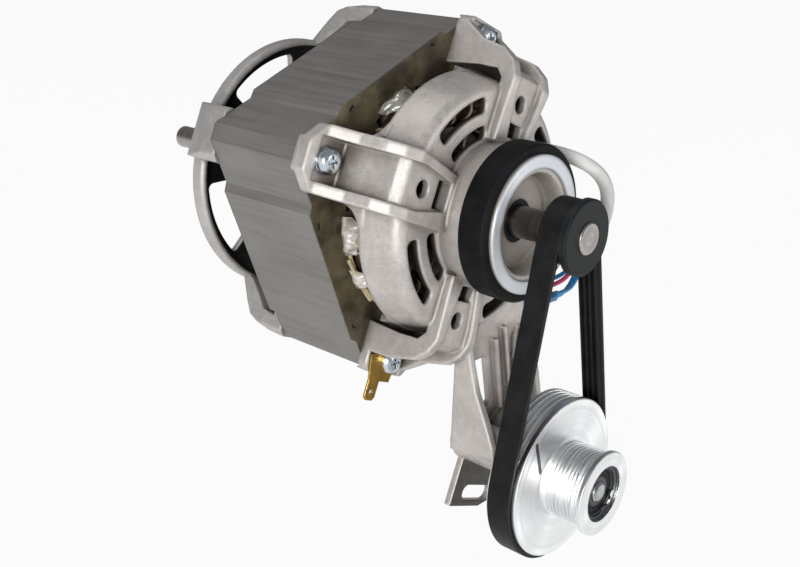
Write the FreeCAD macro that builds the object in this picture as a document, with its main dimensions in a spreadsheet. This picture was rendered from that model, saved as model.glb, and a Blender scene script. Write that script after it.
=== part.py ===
import FreeCAD, Part
import Sketcher
import math
import os
import re

# Dryer motor with a belt reduction on a cast arm.
# Millimetres. The motor axis is Y with the belt end toward -Y, +Z is up, and the origin is the
# centre of the rubber mounting ring. The reduction pulley hangs straight below the motor axis.

doc = FreeCAD.newDocument("DryerMotor")
sheet = doc.addObject("Spreadsheet::Sheet", "dims")

SIZES = [
    # hub and rubber ring at the belt end
    ("hub_radius", 26.1), ("hub_front", 7.24), ("collar_radius", 27.6),
    ("ring_radius", 29.75), ("ring_width", 11.6), ("slip_gap", 0.05), ("run_gap", 0.3),
    ("cup_step", 21.3), ("cup_mouth", 19.5), ("cup_floor_radius", 17.5), ("cup_depth", 8.2),
    ("cup_floor", 2.5), ("neck_radius", 8.2),
    # cast shield at the belt end
    ("wall", 3.0), ("dome_front", 16.1), ("dome_radius", 48.4), ("skirt_radius", 51.3),
    ("skirt_end", 33.2), ("crest_round", 4.5), ("slot_round", 2.4),
    ("outer_slot_in", 38.2), ("outer_slot_out", 44.4), ("inner_slot_in", 28.4),
    ("inner_slot_out", 33.9), ("slot_sweep", 38.5),
    ("arm_angle", 67.5), ("arm_half", 12.3), ("rib_inside", 8.2), ("rib_inside_hub", 5.3),
    ("web_front", 14.3), ("rib_front", 11.5), ("arm_bend", 48.5), ("arm_under", 51.8),
    ("hub_rib_reach", 7.8), ("corner_reach", 81.0), ("seat_edge", 4.8), ("bend_round", 4.0),
    ("corner_round", 3.0),
    ("gusset_sweep", 44.0), ("scoop_radius", 8.0),
    ("arm_hole_circle", 42.33),
    ("arm_hole_radius", 3.4), ("pad_front", 40.0), ("seat_depth", 0.8), ("pad_side_edge", 9.8),
    ("pad_top_edge", 5.8), ("lip", 0.9), ("lip_length", 1.5),
    # bolts
    ("bolt_circle", 65.6), ("bolt_radius", 2.5), ("bolt_hole", 2.75), ("head_radius", 4.9),
    ("head_height", 3.6), ("washer_radius", 5.0), ("washer_thick", 0.8),
    # stator and rotor
    ("stator_front", 44.9), ("stack_length", 46.1), ("flat_half", 57.1), ("flat_width", 28.9),
    ("step_run", 2.8), ("side_half", 54.9), ("corner_side", 50.2), ("corner_top", 44.5),
    ("bore_radius", 30.9), ("slot_mouth", 1.3), ("slot_root", 45.5), ("slot_half", 2.4),
    ("winding_out", 46.4), ("winding_in", 33.0), ("winding_length", 20.4),
    ("rotor_radius", 30.4), ("end_ring_length", 9.0), ("end_ring_in", 19.0),
    ("shaft_radius", 6.0), ("shaft_mid_radius", 8.0), ("shaft_front", 30.7), ("shaft_rear", 197.4),
    # motor bearings
    ("bearing_radius", 16.0), ("bearing_width", 10.0), ("bearing_lip", 13.3),
    ("bearing_hub", 9.0), ("cage_half", 0.9),
    # shield at the rear
    ("rim_radius", 53.7), ("rim_inner", 51.4), ("rim_front", 117.0), ("rear_wall_front", 121.0),
    ("rear_window_in", 23.0), ("rear_window_out", 47.8), ("rear_window_sweep", 43.0),
    ("rear_hub_radius", 19.5), ("rear_hub_front", 114.5), ("rear_bearing", 115.5),
    ("rear_pad", 6.0), ("rear_pad_edge", 5.4), ("leg_half", 10.5),
    ("liner_thick", 0.8), ("wave_washer_thick", 1.0),
    # belt and pulleys
    ("belt_width", 9.4), ("belt_back", 26.54), ("belt_base", 1.4), ("rib_height", 1.8),
    ("rib_pitch", 2.34), ("rib_count", 4), ("tip_width", 0.5),
    ("centre_distance", 95.5), ("small_tip", 11.5), ("large_tip", 31.5),
    ("small_flange", 14.2), ("small_flange_width", 2.9), ("rear_land", 0.7), ("edge_bevel", 0.6),
    ("large_rim_front", 28.64), ("large_rim_width", 13.0), ("large_rim_wall", 4.5),
    ("large_web", 4.5), ("drum_tip", 15.0), ("drum_grooves", 9), ("drum_pitch", 1.6),
    ("drum_depth", 1.3), ("drum_neck", 1.5),
    ("drum_flange", 16.5), ("drum_flange_width", 1.8),
    # reduction pulley bearings and axle
    ("axle_radius", 4.0), ("pulley_bearing_radius", 11.0), ("pulley_bearing_width", 7.0),
    ("pulley_bearing_lip", 9.0), ("pulley_bearing_hub", 6.0), ("pulley_shoulder", 9.6),
    ("bearing_inset", 2.4), ("clip_thick", 1.0), ("clip_depth", 0.6), ("clip_band", 1.5),
    ("axle_crown", 1.6), ("axle_head", 6.5), ("axle_head_height", 3.0),
    # cast arm that carries the reduction pulley
    ("arm_left", 10.0), ("arm_right", 29.0), ("side_plate", 3.0), ("arm_rib_height", 2.4),
    ("boss_radius", 8.5), ("boss_front", 12.2), ("foot_front", 14.8),
    ("foot_drop", 121.1), ("foot_shift", 3.5), ("foot_half", 16.4),
    ("foot_below", 5.8), ("foot_above", 20.0), ("foot_slot_half", 7.0), ("foot_slot_radius", 3.3),
    # earth tab and leads
    ("tab_thick", 0.8), ("tab_wide", 12.0), ("tab_blade", 6.3), ("tab_length", 16.8),
    ("tab_shoulder", 8.8), ("tab_offset", 2.3),
    ("sleeve_radius", 2.8), ("wire_radius", 0.9), ("wire_offset", 1.35),
    ("collar_wall", 1.1), ("collar_length", 2.4), ("lead_turn", 27.0),
    ("barrel_radius", 1.2), ("barrel_length", 3.5), ("socket_length", 6.0), ("socket_width", 5.0),
    ("socket_height", 2.0),
]
for row, (name, amount) in enumerate(SIZES, 1):
    sheet.set("A%d" % row, name)
    sheet.set("B%d" % row, str(amount))
    sheet.setAlias("B%d" % row, name)
doc.recompute()

# Reaches from the motor axis, each an edge beyond the corner bolts' circle
seatReach = "bolt_circle + seat_edge"
padSideReach = "bolt_circle + pad_side_edge"
padTopReach = "bolt_circle + pad_top_edge"
rearPadReach = "bolt_circle + rear_pad_edge"
tabTip = "bolt_circle + tab_length"

aliasWords = re.compile(r"\b(" + "|".join(name for name, amount in SIZES) + r")\b")


def bound(formula):
    return aliasWords.sub(r"dims.\1", str(formula))


def size(formula):
    if isinstance(formula, str):
        return float(sheet.evalExpression(bound(formula)))
    return float(formula)


def placed(obj, x=0, y=0, z=0, turn=None):
    """Put an object at a place given by formulas, turned from +X toward +Z by an angle."""
    if turn is not None:
        obj.Placement = FreeCAD.Placement(FreeCAD.Vector(0, 0, 0),
                                          FreeCAD.Rotation(FreeCAD.Vector(0, -1, 0), size(turn)))
        obj.setExpression("Placement.Rotation.Angle", bound("(%s) * 1 deg" % turn))
    for axis, formula in (("x", x), ("y", y), ("z", z)):
        obj.setExpression("Placement.Base." + axis, bound(formula))
    return obj


def newBody(label, x=0, y=0, z=0, turn=None):
    body = doc.addObject("PartDesign::Body", label)
    body.Label = label
    return placed(body, x, y, z, turn)


def newSketch(body, role, name, offset=None):
    """A sketch on one of the body's own origin planes, moved along that plane's normal."""
    sketch = body.newObject("Sketcher::SketchObject", name)
    base = [item for item in body.Origin.OriginFeatures if item.Role == role][0]
    sketch.AttachmentSupport = (base, [""])
    sketch.MapMode = "FlatFace"
    if offset is not None:
        sketch.setExpression("AttachmentOffset.Base.z", bound(offset))
    return sketch


def pin(sketch, kind, element, point, formula):
    index = sketch.addConstraint(Sketcher.Constraint(kind, -1, 1, element, point, size(formula)))
    if isinstance(formula, str):
        sketch.setExpression("Constraints[%d]" % index, bound(formula))


def outline(sketch, corners):
    """A closed outline of straight lines whose corners are formulas of the sheet."""
    first = sketch.GeometryCount
    spots = [FreeCAD.Vector(size(across), size(up), 0) for across, up in corners]
    total = len(corners)
    for k in range(total):
        sketch.addGeometry(Part.LineSegment(spots[k], spots[(k + 1) % total]), False)
    for k in range(total):
        sketch.addConstraint(Sketcher.Constraint("Coincident", first + k, 2,
                                                 first + (k + 1) % total, 1))
    for k, (across, up) in enumerate(corners):
        pin(sketch, "DistanceX", first + k, 1, across)
        pin(sketch, "DistanceY", first + k, 1, up)


def circle(sketch, across, up, radius):
    element = sketch.addGeometry(Part.Circle(FreeCAD.Vector(size(across), size(up), 0),
                                             FreeCAD.Vector(0, 0, 1), size(radius)), False)
    pin(sketch, "DistanceX", element, 3, across)
    pin(sketch, "DistanceY", element, 3, up)
    index = sketch.addConstraint(Sketcher.Constraint("Radius", element, size(radius)))
    if isinstance(radius, str):
        sketch.setExpression("Constraints[%d]" % index, bound(radius))


def turned(body, name, corners, angle=360, groove=False):
    """A revolved section about Y: the corners are (radius, distance along Y)."""
    sketch = newSketch(body, "XY_Plane", name + "Section")
    outline(sketch, corners)
    kind = "PartDesign::Groove" if groove else "PartDesign::Revolution"
    feature = body.newObject(kind, name)
    feature.Profile = sketch
    feature.ReferenceAxis = (sketch, ["V_Axis"])
    feature.Angle = size(angle)
    if isinstance(angle, str):
        feature.setExpression("Angle", bound(angle))
    feature.Midplane = size(angle) < 360
    sketch.Visibility = False
    return feature


def padded(body, name, sketch, length, middle=False, back=False, cut=False):
    """A pad, or a pocket where cut is set; a pocket with no length goes through everything."""
    feature = body.newObject("PartDesign::Pocket" if cut else "PartDesign::Pad", name)
    feature.Profile = sketch
    if length is None:
        feature.Type = "ThroughAll"
    else:
        feature.Length = size(length)
        if isinstance(length, str):
            feature.setExpression("Length", bound(length))
    feature.Midplane = middle
    feature.Reversed = back
    sketch.Visibility = False
    return feature


def aroundAxis(body, name, originals, copies):
    axis = [item for item in body.Origin.OriginFeatures if item.Role == "Y_Axis"][0]
    pattern = body.newObject("PartDesign::PolarPattern", name)
    pattern.Originals = originals
    pattern.Axis = (axis, [""])
    pattern.Angle = 360
    pattern.Occurrences = copies
    body.Tip = pattern
    return pattern


def rounded(body, name, radius, wanted):
    """Round the edges of the body's tip that the test picks out."""
    doc.recompute()
    tip = body.Tip
    names = ["Edge%d" % (k + 1) for k, edge in enumerate(tip.Shape.Edges) if wanted(edge)]
    feature = body.newObject("PartDesign::Fillet", name)
    feature.Base = (tip, names)
    feature.Radius = size(radius)
    feature.setExpression("Radius", bound(radius))
    body.Tip = feature
    return feature


def joined(label, pieces):
    fuse = doc.addObject("Part::MultiFuse", label)
    fuse.Shapes = pieces
    fuse.Label = label
    return fuse


def lessOf(label, base, tool):
    cut = doc.addObject("Part::Cut", label)
    cut.Base = base
    cut.Tool = tool
    cut.Label = label
    return cut


def lathe(label, corners, y=0, z=0):
    body = newBody(label, y=y, z=z)
    turned(body, label + "Turned", corners)
    return body


def alongAxis(edge, low, high):
    """True for an edge parallel to Y whose distance from Y lies between low and high."""
    if edge.Curve.TypeId != "Part::GeomLine":
        return False
    run = edge.Vertexes[1].Point.sub(edge.Vertexes[0].Point)
    reach = math.hypot(edge.Vertexes[0].Point.x, edge.Vertexes[0].Point.z)
    return abs(run.x) < 1e-4 and abs(run.z) < 1e-4 and low < reach < high


subparts = []


def keep(*pieces):
    subparts.extend(pieces)


# Rubber ring and front shield

keep(lathe("mounting_ring", [
    ("hub_radius + slip_gap", "0"), ("ring_radius - 0.8", "0"), ("ring_radius", "0.8"),
    ("ring_radius", "ring_width - 0.8"), ("ring_radius - 0.8", "ring_width"),
    ("hub_radius + slip_gap", "ring_width")], y="-ring_width / 2"))

domeInside = "dome_front + wall"
dome = newBody("shieldDome", turn="arm_angle + 45")
turned(dome, "domeTurned", [
    ("hub_radius", "-hub_front"), ("hub_radius", "ring_width / 2"),
    ("collar_radius", "ring_width / 2"), ("collar_radius", "dome_front"),
    ("dome_radius", "dome_front"), ("skirt_radius", "skirt_end"),
    ("skirt_radius - wall", "skirt_end"), ("dome_radius - wall", domeInside),
    ("cup_step + wall", domeInside), ("cup_step + wall", "cup_depth - hub_front + 4"),
    ("bearing_radius + wall", "cup_depth - hub_front + 4"),
    ("bearing_radius + wall", "cup_depth - hub_front + cup_floor + bearing_width + 2"),
    ("bearing_radius", "cup_depth - hub_front + cup_floor + bearing_width + 2"),
    ("bearing_radius", "cup_depth - hub_front + cup_floor"),
    ("neck_radius", "cup_depth - hub_front + cup_floor"), ("neck_radius", "cup_depth - hub_front"),
    ("cup_floor_radius", "cup_depth - hub_front"), ("cup_mouth", "1.2 - hub_front"),
    ("cup_step", "1.2 - hub_front"), ("cup_step", "-hub_front")])
rounded(dome, "domeCrest", "crest_round",
        lambda edge: abs(edge.BoundBox.YMax - size("dome_front")) < 0.01
        and abs(edge.BoundBox.XMax - size("dome_radius")) < 0.01)
outerSlot = turned(dome, "outerSlot", [
    ("outer_slot_in", "dome_front - 3"), ("outer_slot_out", "dome_front - 3"),
    ("outer_slot_out", "dome_front + wall + 3"), ("outer_slot_in", "dome_front + wall + 3")],
    angle="slot_sweep", groove=True)
innerSlot = turned(dome, "innerSlot", [
    ("inner_slot_in", "dome_front - 3"), ("inner_slot_out", "dome_front - 3"),
    ("inner_slot_out", "dome_front + wall + 3"), ("inner_slot_in", "dome_front + wall + 3")],
    angle="slot_sweep", groove=True)
aroundAxis(dome, "slotPattern", [outerSlot, innerSlot], 4)
rounded(dome, "slotEnds", "slot_round",
        lambda edge: alongAxis(edge, size("inner_slot_in") - 0.5, size("outer_slot_out") + 0.5))


def shieldArm(label, reach, turn, slim):
    """One arm: two ribs with a lower web between, bent back along the stator to a bolt pad.

    slim is +1 or -1, the side on which the arm narrows toward the hub."""
    body = newBody(label, turn=turn)
    side = newSketch(body, "XY_Plane", label + "Side")
    outline(side, [
        ("collar_radius - 1.5", "rib_front + 1"), ("arm_bend - 10", "rib_front + 0.5"),
        ("arm_bend + 2", "rib_front"), ("arm_bend + 7.6", "rib_front + 2.6"),
        ("arm_bend + 11.9", "rib_front + 8.4"), ("arm_bend + 14.2", "pad_front - 9.6"),
        ("bolt_circle + 3", "pad_front"), (reach, "pad_front"),
        (reach, "stator_front + lip_length"), (reach + " - lip", "stator_front + lip_length"),
        (reach + " - lip", "stator_front"), ("arm_under", "stator_front"),
        ("arm_under + 1", "pad_front - 10.6"), ("arm_under + 0.6", "rib_front + 9"),
        ("arm_under - 2.5", "web_front + wall + 0.2"), ("collar_radius - 1.5", "web_front + wall + 0.2")])
    padded(body, label + "Block", side, "2 * arm_half", middle=True)
    recessSide = newSketch(body, "XY_Plane", label + "RecessSide")
    outline(recessSide, [
        ("arm_bend - 3", "web_front"), ("arm_bend + 3.6", "web_front"),
        ("arm_bend + 6.2", "web_front + 3.2"), ("arm_under + 5.8", "pad_front - 1"),
        ("arm_under + 5.8", "pad_front + seat_depth"), (seatReach, "pad_front + seat_depth"),
        (seatReach, "rib_front - 6"), ("arm_bend - 3", "rib_front - 6")])
    padded(body, label + "Recess", recessSide, "2 * rib_inside", middle=True, cut=True)
    turned(body, label + "Gusset", [
        ("skirt_radius - wall", "skirt_end - 2"), ("skirt_radius", "skirt_end - 2"),
        ("skirt_radius + 1", "skirt_end + 7"), ("skirt_radius + 1 - wall", "skirt_end + 7")],
        angle="gusset_sweep")
    scoops = newSketch(body, "YZ_Plane", label + "Scoops")
    for hand in (1, -1):
        circle(scoops, "skirt_end + scoop_radius", "%d * (arm_half + scoop_radius)" % hand,
               "scoop_radius")
    padded(body, label + "ScoopCut", scoops, "skirt_radius + 3", cut=True, back=True)
    front = newSketch(body, "XZ_Plane", label + "Front", offset="-web_front")
    outline(front, [
        ("collar_radius + 1.2", "rib_inside_hub"), ("arm_bend - 2.9", "rib_inside"),
        ("arm_bend - 2.9", "-rib_inside"), ("collar_radius + 1.2", "-rib_inside_hub")])
    padded(body, label + "Shallow", front, None, back=True, cut=True)
    flanks = newSketch(body, "XZ_Plane", label + "Flanks")
    outline(flanks, [
        ("collar_radius - 4", "%d * hub_rib_reach" % slim),
        ("arm_bend + 1", "%d * arm_half" % slim),
        ("arm_bend + 1", "%d * (arm_half + 2)" % slim),
        ("collar_radius - 4", "%d * (arm_half + 2)" % slim)])
    for hand in (1, -1):
        outline(flanks, [
            (reach + " + 1", "%d * (corner_reach - (%s) - 1)" % (hand, reach)),
            (reach + " + 1", "%d * (arm_half + 1)" % hand),
            ("corner_reach - arm_half - 1", "%d * (arm_half + 1)" % hand)])
    padded(body, label + "FlankCut", flanks, None, middle=True, cut=True)
    holes = newSketch(body, "XZ_Plane", label + "Holes")
    circle(holes, "bolt_circle", 0, "bolt_hole")
    padded(body, label + "Drilled", holes, None, middle=True, cut=True)
    crest = [(size("arm_bend + 2"), size("rib_front")),
             (size("arm_bend + 7.6"), size("rib_front + 2.6")),
             (size("arm_bend + 11.9"), size("rib_front + 8.4"))]
    rounded(body, label + "Bend", "bend_round",
            lambda edge: acrossArm(edge) and any(
                math.hypot(edge.BoundBox.XMax - out, edge.BoundBox.YMax - along) < 0.01
                for out, along in crest))
    rounded(body, label + "Corners", "corner_round",
            lambda edge: alongMotor(edge) and edge.BoundBox.XMin > size("bolt_circle + 2.5")
            and abs(edge.BoundBox.ZMin) > 4)
    return body


def alongMotor(edge):
    """True for a straight edge parallel to the motor axis."""
    if edge.Curve.TypeId != "Part::GeomLine":
        return False
    run = edge.Vertexes[1].Point.sub(edge.Vertexes[0].Point)
    return abs(run.x) < 1e-4 and abs(run.z) < 1e-4 and abs(run.y) > 2


def acrossArm(edge):
    """True for a straight edge along Z that runs from one side of the arm toward the other."""
    if edge.Curve.TypeId != "Part::GeomLine":
        return False
    run = edge.Vertexes[1].Point.sub(edge.Vertexes[0].Point)
    return abs(run.x) < 1e-4 and abs(run.y) < 1e-4 and 2 < abs(run.z) < 30


shieldArmBodies = [
    shieldArm("leftArm", padSideReach, "arm_angle + 90", -1),
    shieldArm("rightArm", padSideReach, "arm_angle + 270", 1),
    shieldArm("topArm", padTopReach, "arm_angle", -1),
    shieldArm("bottomArm", padTopReach, "arm_angle + 180", 1)]

# The arm below the shield: a web with two side plates and two ribs, an axle boss and a slotted foot.
axleDrop = "-centre_distance"
webBack = "dome_front + wall"
arm = newBody("pulleyArm")
armWeb = newSketch(arm, "XZ_Plane", "armWeb", offset="-(" + webBack + ")")
outline(armWeb, [
    ("-arm_left", -45.5), ("-arm_left", "24.1 - foot_drop"), (-4, "20.1 - foot_drop"),
    (14, "20.1 - foot_drop"), (20, "25.1 - foot_drop"),
    ("arm_right", -83), ("arm_right", -56), (36, -47), (41, -36), (38, -27),
    (32.6, -32.6), (24.4, -39.2), (12, -44.5), (0, -46)])
padded(arm, "armWebPad", armWeb, "wall")
leftPlate = newSketch(arm, "YZ_Plane", "leftPlate", offset="-arm_left")
outline(leftPlate, [
    (webBack, -44), (webBack + " - 0.4", -63), (webBack + " - 2.4", -84), (webBack + " - 0.6", -94),
    (webBack + " - 1.5", -97.4), (-2.2, -94.9), (-1.4, -90.2), (3.3, -79), (7.8, -69.8),
    (10.8, -60), (12.8, -52), (14, -44)])
padded(arm, "leftPlatePad", leftPlate, "side_plate")
rightPlate = newSketch(arm, "YZ_Plane", "rightPlate", offset="arm_right - side_plate")
outline(rightPlate, [
    (webBack, -52), (webBack, -87), (2.6, -87), (3.4, -81), (5.3, -71.4), (7.4, -63.4), (11, -54)])
padded(arm, "rightPlatePad", rightPlate, "side_plate")
armRibs = newSketch(arm, "XZ_Plane", "armRibs", offset="-(" + webBack + ")")
outline(armRibs, [(9, -54), (15.2, -86), (17.2, -86), (11, -54)])
outline(armRibs, [(14.6, -50), (20.4, -78), (22.2, -78), (16.6, -50)])
padded(arm, "armRibPad", armRibs, "wall + arm_rib_height")
armBrace = newSketch(arm, "XZ_Plane", "armBrace", offset="-(" + webBack + ")")
outline(armBrace, [
    ("arm_right", -83), ("arm_right - 9", -96), (12, -101), (4, -101), (4, -96),
    ("arm_right - side_plate", -81)])
padded(arm, "armBracePad", armBrace, "wall + 10")
armBoss = newSketch(arm, "XZ_Plane", "armBoss", offset="-(" + webBack + ")")
circle(armBoss, 0, axleDrop, "boss_radius")
padded(arm, "armBossPad", armBoss, webBack + " + boss_front")
armWindow = newSketch(arm, "XZ_Plane", "armWindow")
outline(armWindow, [(-5.5, -60.6), (5.5, -60.6), (7.3, -62.6), (11.4, -82.4), (9.4, -84.6),
                    (-2, -84.6), (-5.5, -80)])
outline(armWindow, [(22.6, -56.5), (23.8, -55), (25.4, -55), (25.4, -67), (24.4, -67), (23.2, -65.5)])
padded(arm, "armWindowCut", armWindow, None, middle=True, cut=True)

foot = newBody("slottedFoot", x="foot_shift", z="-foot_drop", turn="arm_angle - 90")
footPlate = newSketch(foot, "XZ_Plane", "footPlate", offset="-(foot_front + wall)")
outline(footPlate, [
    ("-foot_half", "-foot_below"), ("foot_half", "-foot_below"), ("foot_half", "foot_above - 5"),
    ("foot_half - 9", "foot_above"), ("3 - foot_half", "foot_above + 2"),
    ("-foot_half", "foot_above - 4")])
padded(foot, "footPlatePad", footPlate, "wall")
footSlot = newSketch(foot, "XZ_Plane", "footSlot")
circle(footSlot, "-foot_slot_half", 0, "foot_slot_radius")
padded(foot, "footSlotLeft", footSlot, None, middle=True, cut=True)
footSlotMid = newSketch(foot, "XZ_Plane", "footSlotMid")
outline(footSlotMid, [
    ("-foot_slot_half", "-foot_slot_radius"), ("foot_slot_half", "-foot_slot_radius"),
    ("foot_slot_half", "foot_slot_radius"), ("-foot_slot_half", "foot_slot_radius")])
padded(foot, "footSlotMiddle", footSlotMid, None, middle=True, cut=True)
footSlotEnd = newSketch(foot, "XZ_Plane", "footSlotEnd")
circle(footSlotEnd, "foot_slot_half", 0, "foot_slot_radius")
padded(foot, "footSlotRight", footSlotEnd, None, middle=True, cut=True)

hubWindows = newBody("hubWindows", turn="arm_angle")
hubWindow = newSketch(hubWindows, "XZ_Plane", "hubWindow", offset="-(dome_front + wall + 4)")
outline(hubWindow, [
    ("collar_radius + 1.2", "-rib_inside_hub"), ("collar_radius + 1.2", "rib_inside_hub"),
    ("inner_slot_out + 0.8", "rib_inside_hub"), ("inner_slot_out + 0.8", "-rib_inside_hub")])
hubWindowPad = padded(hubWindows, "hubWindowPad", hubWindow, "wall + 12")
aroundAxis(hubWindows, "hubWindowPattern", [hubWindowPad], 4)
bearingRoom = lathe("bearingRoom", [
    ("0", "-hub_front - 1"), ("cup_floor_radius - 0.5", "-hub_front - 1"),
    ("cup_floor_radius - 0.5", "cup_depth - hub_front - 0.2"), ("0", "cup_depth - hub_front - 0.2")])
axleBore = lathe("axleBore", [
    ("0", "-boss_front - 2"), ("axle_radius + slip_gap", "-boss_front - 2"),
    ("axle_radius + slip_gap", webBack + " + 2"), ("0", webBack + " + 2")], z=axleDrop)
tabRoom = newBody("tabRoom", turn="arm_angle + 180")
tabRoomFace = newSketch(tabRoom, "XZ_Plane", "tabRoomFace", offset="-(pad_front + seat_depth)")
outline(tabRoomFace, [
    ("bolt_circle - 2.6", "-tab_wide - 2"), (padTopReach + " + 3", "-tab_wide - 2"),
    (padTopReach + " + 3", "rib_inside"), ("bolt_circle - 2.6", "rib_inside")])
padded(tabRoom, "tabRoomPad", tabRoomFace, "seat_depth + 12")

cornerRooms = newBody("cornerRooms", turn="arm_angle")
washerRoom = newSketch(cornerRooms, "XZ_Plane", "washerRoom", offset="-(pad_front + seat_depth)")
circle(washerRoom, "bolt_circle", 0, "washer_radius + 0.2")
washerRoomPad = padded(cornerRooms, "washerRoomPad", washerRoom, "seat_depth + 13.6")
armHole = newSketch(cornerRooms, "XZ_Plane", "armHole", offset="-(dome_front + wall + 1)")
circle(armHole, "arm_hole_circle", 0, "arm_hole_radius")
armHolePad = padded(cornerRooms, "armHolePad", armHole, "wall + 6")
armPocket = newSketch(cornerRooms, "XZ_Plane", "armPocket", offset="-(dome_front + wall + 1)")
circle(armPocket, "arm_hole_circle - 0.6", 0, "arm_hole_radius + 4")
armPocketPad = padded(cornerRooms, "armPocketPad", armPocket, "dome_front + 1 - web_front")
aroundAxis(cornerRooms, "cornerRoomPattern", [washerRoomPad, armHolePad, armPocketPad], 4)

shieldCasting = joined("shieldCasting", [dome] + shieldArmBodies + [arm, foot])
shieldClearances = joined("shieldClearances",
                          [hubWindows, bearingRoom, axleBore, tabRoom, cornerRooms])
keep(lessOf("front_shield", shieldCasting, shieldClearances))

# Stator

core = newBody("stator_core", y="stator_front", turn="arm_angle + 45")
lamination = newSketch(core, "XZ_Plane", "lamination")


def turnedCorner(corner, quarterTurns):
    across, up = corner
    for step in range(quarterTurns):
        across, up = "-(" + up + ")", across
    return across, up


section = []
for quarterTurns in range(4):
    ends = ("corner_side", "corner_top") if quarterTurns % 2 else ("corner_top", "corner_side")
    face = [("side_half", "-" + ends[0]), ("side_half", "-(flat_width + step_run)"),
            ("flat_half", "-flat_width"), ("flat_half", "flat_width"),
            ("side_half", "flat_width + step_run"), ("side_half", ends[1])]
    section += [turnedCorner(corner, quarterTurns) for corner in face]
outline(lamination, section)
circle(lamination, 0, 0, "bore_radius")
padded(core, "stack", lamination, "stack_length", back=True)
windingSlot = newSketch(core, "XZ_Plane", "windingSlot")
outline(windingSlot, [
    ("bore_radius - 1", "-slot_mouth"), ("bore_radius + 1.2", "-slot_mouth"),
    ("bore_radius + 2.4", "-slot_half"), ("slot_root", "-slot_half - 0.9"),
    ("slot_root", "slot_half + 0.9"), ("bore_radius + 2.4", "slot_half"),
    ("bore_radius + 1.2", "slot_mouth"), ("bore_radius - 1", "slot_mouth")])
slotCut = padded(core, "windingSlotCut", windingSlot, None, middle=True, cut=True)
aroundAxis(core, "windingSlots", [slotCut], 24)
boltHoles = newSketch(core, "XZ_Plane", "boltHoles")
for across, up in ((1, 1), (-1, 1), (-1, -1), (1, -1)):
    circle(boltHoles, "%d * bolt_circle / sqrt(2)" % across, "%d * bolt_circle / sqrt(2)" % up,
           "bolt_hole")
padded(core, "boltHolesCut", boltHoles, None, middle=True, cut=True)
keep(core)

windingSection = [
    ("winding_in", "0"), ("winding_out", "0"), ("winding_out", "2.2"), ("winding_out - 0.8", "7"),
    ("winding_out - 3", "winding_length - 3"), ("winding_out - 5.4", "winding_length"),
    ("winding_in + 3", "winding_length"), ("winding_in", "winding_length - 3.5")]
keep(lathe("rear_winding", windingSection, y="stator_front + stack_length"))
keep(lathe("front_winding", [(radius, "-(" + along + ")") for radius, along in windingSection],
           y="stator_front"))

# Rear shield

rearWallBack = "rear_wall_front + wall - 0.2"
rearHubEnd = "rear_bearing + bearing_width + wave_washer_thick"
rearDisc = newBody("rearDisc", turn="arm_angle + 45")
turned(rearDisc, "rearDiscTurned", [
    ("rim_inner", "rim_front"), ("rim_radius - 1", "rim_front"), ("rim_radius", "rim_front + 1"),
    ("rim_radius", rearWallBack + " - 1"), ("rim_radius - 1", rearWallBack),
    ("rear_hub_radius", rearWallBack), ("rear_hub_radius", rearHubEnd + " + wall"),
    ("shaft_radius + 1", rearHubEnd + " + wall"), ("shaft_radius + 1", rearHubEnd),
    ("bearing_radius", rearHubEnd), ("bearing_radius", "rear_hub_front"),
    ("rear_hub_radius", "rear_hub_front"), ("rear_hub_radius", "rear_wall_front"),
    ("rim_inner", "rear_wall_front")])
rearWindow = turned(rearDisc, "rearWindow", [
    ("rear_window_in", "rear_wall_front - 4"), ("rear_window_out", "rear_wall_front - 4"),
    ("rear_window_out", rearWallBack + " + 4"), ("rear_window_in", rearWallBack + " + 4")],
    angle="rear_window_sweep", groove=True)
aroundAxis(rearDisc, "rearWindows", [rearWindow], 4)
rounded(rearDisc, "rearWindowEnds", "slot_round",
        lambda edge: alongAxis(edge, size("rear_window_in") - 0.5, size("rear_window_out") + 0.5))
rearLegs = newBody("rearLegs", turn="arm_angle")
legSide = newSketch(rearLegs, "XY_Plane", "legSide")
rearStart = "stator_front + stack_length"
outline(legSide, [
    ("arm_under + 4", rearStart), (rearPadReach, rearStart),
    (rearPadReach + " - 0.4", "rim_front - 18"),
    (rearPadReach + " - 2", "rim_front - 12"), (rearPadReach + " - 4.4", "rim_front - 6.4"),
    ("rim_radius + 8", "rim_front - 2.6"), ("rim_radius - 0.6", "rim_front + 3"),
    ("rim_inner + 0.3", "rim_front + 3"), ("rim_inner + 0.3", "rim_front - 1.5"),
    ("rim_radius + 3.4", "rim_front - 7.6"), (rearPadReach + " - 8.5", "rim_front - 13"),
    (rearPadReach + " - 7.5", rearStart + " + rear_pad"), ("arm_under + 4", rearStart + " + rear_pad")])
legBlock = padded(rearLegs, "legBlock", legSide, "2 * leg_half", middle=True)
legCorners = newSketch(rearLegs, "XZ_Plane", "legCorners")
for hand in (1, -1):
    outline(legCorners, [
        (rearPadReach + " + 1", "%d * (corner_reach - 3 - bolt_circle - rear_pad_edge)" % hand),
        (rearPadReach + " + 1", "%d * (leg_half + 1)" % hand),
        ("corner_reach - 2 - leg_half - 1", "%d * (leg_half + 1)" % hand)])
legCut = padded(rearLegs, "legCornerCut", legCorners, None, middle=True, cut=True)
legBolt = newSketch(rearLegs, "XZ_Plane", "legBolt", offset="-(" + rearStart + " + rear_pad)")
circle(legBolt, "bolt_circle", 0, "bolt_radius + slip_gap")
legBoltCut = padded(rearLegs, "legBoltCut", legBolt, "rear_pad + 1", cut=True, back=True)
aroundAxis(rearLegs, "legPattern", [legBlock, legCut, legBoltCut], 4)
keep(joined("rear_shield", [rearDisc, rearLegs]))

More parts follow.
